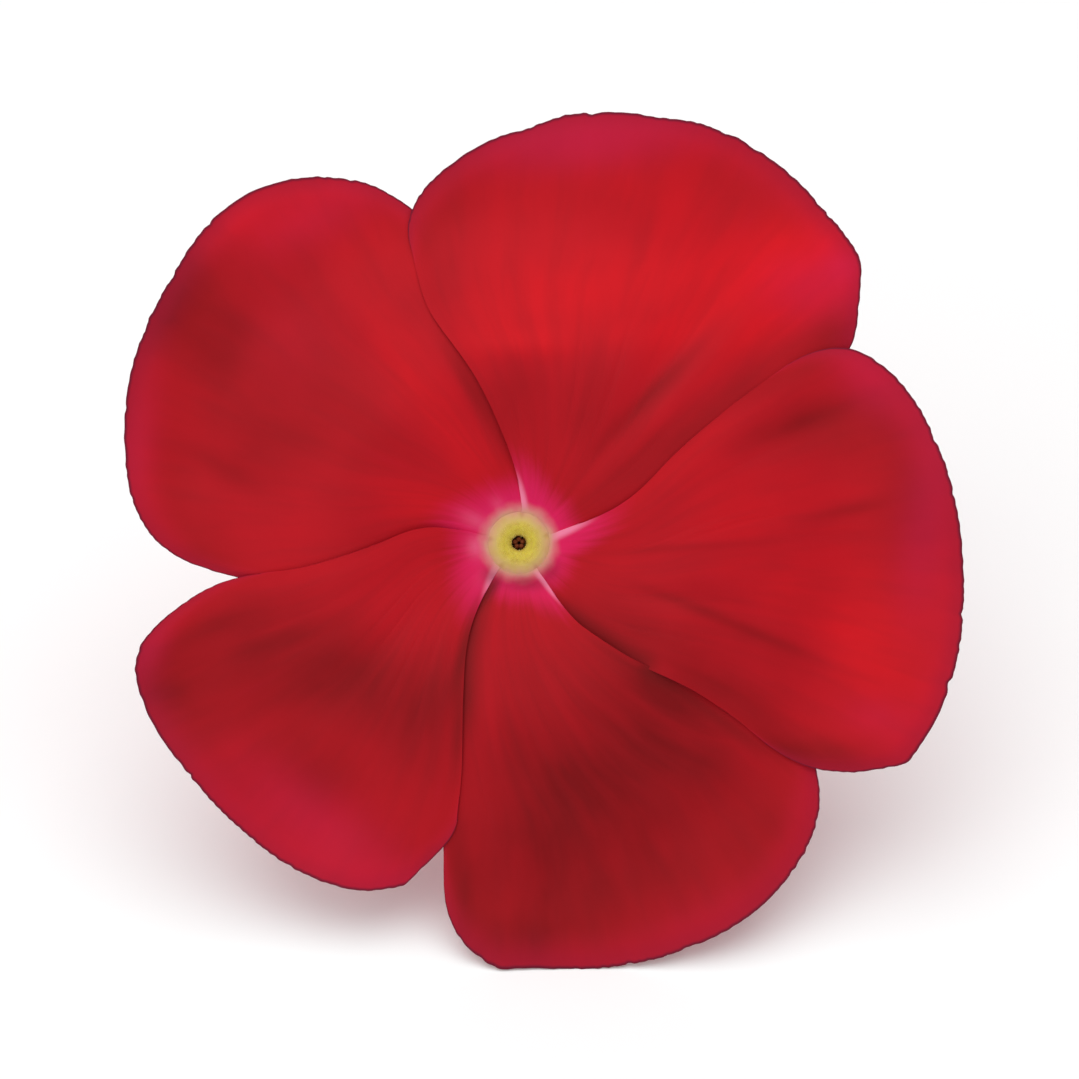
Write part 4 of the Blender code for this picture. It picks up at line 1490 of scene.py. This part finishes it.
# %% Cup and stalk
CALYX_TOP = -27.1
STALK_RADIUS = 0.75
REST_DEPTH = 0.2
stalk_cut = -(face_centre.z / MM - STALK_RADIUS * math.cos(LEAN) + REST_DEPTH) / math.sin(LEAN)
CUP_SECTION = (
    (0.0, stalk_cut),
    (0.66, stalk_cut),
    (STALK_RADIUS, stalk_cut + 0.12),
    (0.72, stalk_cut + 1.2),
    (STALK_RADIUS, CALYX_TOP - 1.7),
    (1.05, CALYX_TOP - 1.3),
    (1.42, CALYX_TOP - 0.75),
    (1.46, CALYX_TOP - 0.30),
    (1.22, CALYX_TOP - 0.02),
    (0.0, CALYX_TOP),
)
cup_skin = green_material("calyx skin, leaf green", "#5E8A3A", "#4A7430", rib_strength=0.3)
cup = turned_piece("calyx_and_stalk", CUP_SECTION, cup_skin, steps_round=64, steps_along=120)

# %% [markdown]
# ## The sepals
#
# A sepal is a thin pointed blade, hollow towards the tube, with a keel along its back and a reddish tip.
# One is drawn as rings of points that narrow to the tip, and the ring rule repeats it round the cup.

# %% Sepals
SEPAL_LENGTH = 4.6
SEPAL_HALF_WIDTH = 0.46
SEPAL_THICKNESS = 0.16
SEPAL_THINNING = 0.75
SEPAL_TAPER = 2.2
SEPAL_BULGE = 0.15
SEPAL_TIP = 0.02
SEPAL_KEEL = 0.12
SEPAL_CURL = 0.35
SEPAL_HOLLOW = 0.5
SEPAL_ROWS = 40
SEPAL_SIDES = 24
SEPAL_RING = {
    "Count": 5,
    "Ring radius": 1.40 * MM,
    "Height": (CALYX_TOP - 0.55) * MM,
    "Lean": math.radians(14.0),
    "Turn": math.radians(18.0),
    "Shortest": 0.9,
    "Seed": 4,
}


def sepal_mesh():
    """A narrow pointed blade along Z from the origin, hollowed inside and keeled outside (+X)."""
    way_round = np.linspace(0, 2 * math.pi, SEPAL_SIDES, endpoint=False) + math.pi / SEPAL_SIDES
    along, angle = np.meshgrid(np.linspace(0, 1, SEPAL_ROWS + 1), way_round, indexing="ij")
    narrowing = (1 - along**SEPAL_TAPER) ** 0.8
    half = SEPAL_HALF_WIDTH * narrowing * (1 + SEPAL_BULGE * np.sin(math.pi * along)) + SEPAL_TIP
    y = half * np.sin(angle)
    side = np.cos(angle)
    keel = SEPAL_KEEL * (1 - along) * np.exp(-((y / (0.3 * half)) ** 2)) * (side > 0)
    blunt = np.sign(side) * np.abs(side) ** 0.7
    back = SEPAL_THICKNESS * (1 - SEPAL_THINNING * along) * blunt + keel
    x = back + SEPAL_CURL * along**2 - SEPAL_HOLLOW * y**2
    return tube_of_rings("sepal", np.stack((x, y, SEPAL_LENGTH * along), axis=-1))


RED_TIPS = {"flush": "#8E5A48", "flush_full": 22.8, "flush_gone": 24.2}
sepal_skin = green_material("sepal skin, leaf green", "#66923F", "#517C34", rib_strength=0.0, **RED_TIPS)
sepals = grow("sepals", ring_of_five, {**SEPAL_RING, "Skin": sepal_skin}, sepal_mesh())
keep_axis_measures(sepals.data)
print("sepals", len(sepals.data.polygons), "faces")

# %% [markdown]
# ## Fine hairs
#
# Under a hand lens the mouth of the tube has a ring of short yellow hairs, which is why the eye looks
# soft, and the tube and the calyx are downy. A particle system could grow them, but its hairs would be
# lost in an export. One Geometry Nodes rule makes them as real spikes: points strewn over a surface, a
# slim three-sided spike on each, standing out with a random lean and length.
#
# Where the hairs stand, and how thickly, is a measure on the mesh that they grow from. A live hair is
# 0.01 mm thick. These are twice that, or the render would lose them.

# %% Hair rule
HAIR_DIAMETER = 0.022
SHORTEST_HAIR = 0.55
HAIR_SEED = 5


def hair_tree():
    """A tree that strews slim spikes over its mesh and gives back only the spikes."""
    tree, given = new_tree("fine hairs", {"Hair length": "Float", "Lean": "Float", "Skin": "Material"}, True)
    thick = add(tree, "GeometryNodeInputNamedAttribute", {"Name": "hairs_per_square_mm"}, data_type="FLOAT")
    thick = add(tree, MATH, (thick, 1 / (MM * MM)), operation="MULTIPLY")
    strew = {"Mesh": given["Geometry"], "Density": thick, "Seed": HAIR_SEED}
    strewn = add(tree, "GeometryNodeDistributePointsOnFaces", strew).node.outputs
    slim = {"Vertices": 3, "Radius Top": 0.0, "Radius Bottom": HAIR_DIAMETER / 2 * MM}
    spike = add(tree, "GeometryNodeMeshCone", {**slim, "Depth": given["Hair length"]})
    any_way = {0: (-1.0, -1.0, 0.0), 1: (1.0, 1.0, 0.0), "Seed": HAIR_SEED}
    lean = add(tree, "FunctionNodeRandomValue", any_way, data_type="FLOAT_VECTOR")
    lean = add(tree, "ShaderNodeVectorMath", {0: lean, "Scale": given["Lean"]}, operation="SCALE")
    upright = {"Rotation": strewn["Rotation"], "Rotate By": lean}
    facing = add(tree, "FunctionNodeRotateRotation", upright, rotation_space="LOCAL")
    range_of_sizes = {2: SHORTEST_HAIR, 3: 1.0, "Seed": HAIR_SEED}
    size = add(tree, "FunctionNodeRandomValue", range_of_sizes, out=1, data_type="FLOAT")
    copies = {"Points": strewn["Points"], "Instance": spike, "Rotation": facing, "Scale": size}
    finish_tree(tree, add(tree, "GeometryNodeInstanceOnPoints", copies), given["Skin"])
    return tree


def hair_material(name, code):
    """Clear dead hair: its pale colour with a slight gloss."""
    made, _ = new_material(name)
    finish = {"Base Color": colour(code), "Roughness": 0.5, "Specular IOR Level": 0.3}
    return finished(made, finish)


def down(name, source, thickness, length, lean, skin):
    """The hairs of one piece. thickness gives the hairs per square mm at each of its points."""
    mesh = source.data.copy()
    keep_measure(mesh, "hairs_per_square_mm", thickness)
    made = grow(name, hairs, {"Hair length": length * MM, "Lean": lean, "Skin": skin}, mesh)
    print(name, len(made.data.polygons), "faces")
    return made


hairs = hair_tree()
print(hairs.name, len(hairs.nodes), "nodes")

# %% [markdown]
# ## Where the hairs stand
#
# They stand thickest on the eye, in a ring that fades out on both sides, and sparsely on the outside of the
# tube and of the sepals. Each limit is a radius or a height in the flower's own frame. The limits keep hairs
# off skin that nobody sees, such as the inside of the tube.

# %% Grow the hairs
HAIRS_ON_EYE = 260
HAIRS_ON_TUBE = 11
HAIRS_ON_CALYX = 22
MOUTH_BRIM = (0.42, 0.50)
HAIR_RING_ENDS = (1.35, 1.10)
EYE_TOP_FROM = -0.2
TUBE_OUTSIDE = (0.8, 2.2)
TUBE_HEIGHTS = (-26.2, -1.2)
SEPAL_OUTSIDE = 1.0
SEPAL_ROOTS = -28.6


def between(values, low, high):
    """True where a value lies between two limits."""
    return (values > low) & (values < high)


white_hair = hair_material("hair, white", "#EEEBDD")
yellow_hair = hair_material("hair, pale yellow", "#E9D778")

x, y, z = places_mm(eye.data)
from_axis = np.hypot(x, y)
on_eye = HAIRS_ON_EYE * ease(from_axis, *MOUTH_BRIM) * ease(from_axis, *HAIR_RING_ENDS) * (z > EYE_TOP_FROM)
eye_hairs = down("eye_hairs", eye, on_eye, length=0.16, lean=0.7, skin=yellow_hair)

x, y, z = places_mm(tube.data)
on_tube = HAIRS_ON_TUBE * (between(np.hypot(x, y), *TUBE_OUTSIDE) & between(z, *TUBE_HEIGHTS))
tube_hairs = down("tube_hairs", tube, on_tube, length=0.22, lean=0.5, skin=white_hair)

x, y, z = places_mm(sepals.data)
on_calyx = HAIRS_ON_CALYX * ((np.hypot(x, y) > SEPAL_OUTSIDE) & (z > SEPAL_ROOTS))
calyx_hairs = down("calyx_hairs", sepals, on_calyx, length=0.18, lean=0.5, skin=white_hair)

# %% [markdown]
# ## Lay the small pieces down and hand everything over
#
# The petals were laid down as they were made. The other pieces were grown in the flower's own frame, so
# their meshes are turned and moved now. Then every piece is hung on the body it rides on, and the solids
# that it stands for are hidden.

PIECES = (
    (eye, ("eye",), "eye_yellow"),
    (tube, ("tube",), "tube_green"),
    (cup, ("calyx_and_stalk",), "calyx_green"),
    (anthers, (), "eye_yellow"),
    (sepals, (), "calyx_green"),
    (eye_hairs, (), "eye_yellow"),
    (tube_hairs, (), "tube_green"),
    (calyx_hairs, (), "calyx_green"),
)
for piece, _, _ in PIECES:
    piece.data.transform(lay_down)
    rest_on_surface(piece.data)
PETAL_PIECES = tuple((piece, (name,), "petal_red") for name, piece in petals.items())
for piece, nodes, slot in PIECES + PETAL_PIECES:
    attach(piece, "root")
    if nodes:
        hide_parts(*nodes)
print("pieces:", len(petals) + len(PIECES))

# %% [markdown]
# ## Floor, light and camera
#
# The flower lies on a plain pale surface. One soft lamp overhead models it: because the face leans back,
# that lamp rakes across it and every crest and fold shows. A weak lamp from the front left and a pale
# world fill the shadows, so that the floor stays nearly white, as in a picture for a catalogue. Colours
# are shown as they are, with no film curve, which would dull so strong a red.
#
# The camera looks straight at the face. Its frame shares the flower's own axes, so it is placed with the
# same matrix, a long lens away.

# %% Floor and light
FLOOR_HALF_SIZE = 1.5
FLOOR_CORNERS = ((-1, -1), (1, -1), (1, 1), (-1, 1))
LAMP_DISTANCE = 0.6
OVERHEAD = {"direction": (0.0, 0.0, 1.0), "size": 0.80, "watts": 2.4}
FILL = {"direction": (-0.6, -0.8, 0.7), "size": 0.60, "watts": 0.8}
WORLD_STRENGTH = 0.56


def floor_material():
    """Matt white card: it scatters all light and shows no gloss."""
    made, _ = new_material("card, matt white")
    finish = {"Base Color": colour("#FAFAFA"), "Roughness": 0.9, "Specular IOR Level": 0.1}
    return finished(made, finish)


def soft_lamp(name, direction, size, watts):
    """A round area lamp that faces the flower."""
    lamp = bpy.data.lights.new(name, "AREA")
    lamp.shape = "DISK"
    lamp.size = size
    lamp.energy = watts
    made = new_object(name, lamp)
    towards = Vector(direction).normalized()
    made.location = face_centre + towards * LAMP_DISTANCE
    made.rotation_euler = towards.to_track_quat("Z", "Y").to_euler()


corners = [(x * FLOOR_HALF_SIZE, y * FLOOR_HALF_SIZE, 0.0) for x, y in FLOOR_CORNERS]
floor_mesh = bpy.data.meshes.new("floor")
floor_mesh.from_pydata(corners, [], [(0, 1, 2, 3)])
floor_mesh.materials.append(floor_material())
floor = new_object("floor", floor_mesh)
floor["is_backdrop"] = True

soft_lamp("lamp overhead", **OVERHEAD)
soft_lamp("lamp front left", **FILL)
world = bpy.data.worlds.new("pale room")
world.use_nodes = True
world.node_tree.nodes["Background"].inputs["Color"].default_value = (1.0, 1.0, 1.0, 1.0)
world.node_tree.nodes["Background"].inputs["Strength"].default_value = WORLD_STRENGTH
bpy.context.scene.world = world
bpy.context.scene.view_settings.view_transform = "Standard"
print("lamps:", OVERHEAD["watts"], "and", FILL["watts"], "W")

# %% Camera
LENS = 110.0
SENSOR = 36.0
VIEW_WIDTH = 62.9
VIEW_CENTRE = (1.2, 0.2)

lens = bpy.data.cameras.new("camera")
lens.lens = LENS
lens.sensor_width = SENSOR
lens.clip_start = 0.01
camera = new_object("camera", lens)
away = VIEW_WIDTH * LENS / SENSOR
camera.matrix_world = lay_down @ Matrix.Translation(Vector((*VIEW_CENTRE, away)) * MM)
bpy.context.scene.camera = camera
print("camera", round(away), "mm from the face")

# %% Compare the finished flower's box with the solids'
finished_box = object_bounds()
sizes = {"solids": [list(corner) for corner in solid_box], "finished": [list(corner) for corner in finished_box]}
for title, (low, high) in sizes.items():
    print(title, "mm:", [round((b - a) / MM, 1) for a, b in zip(low, high)])
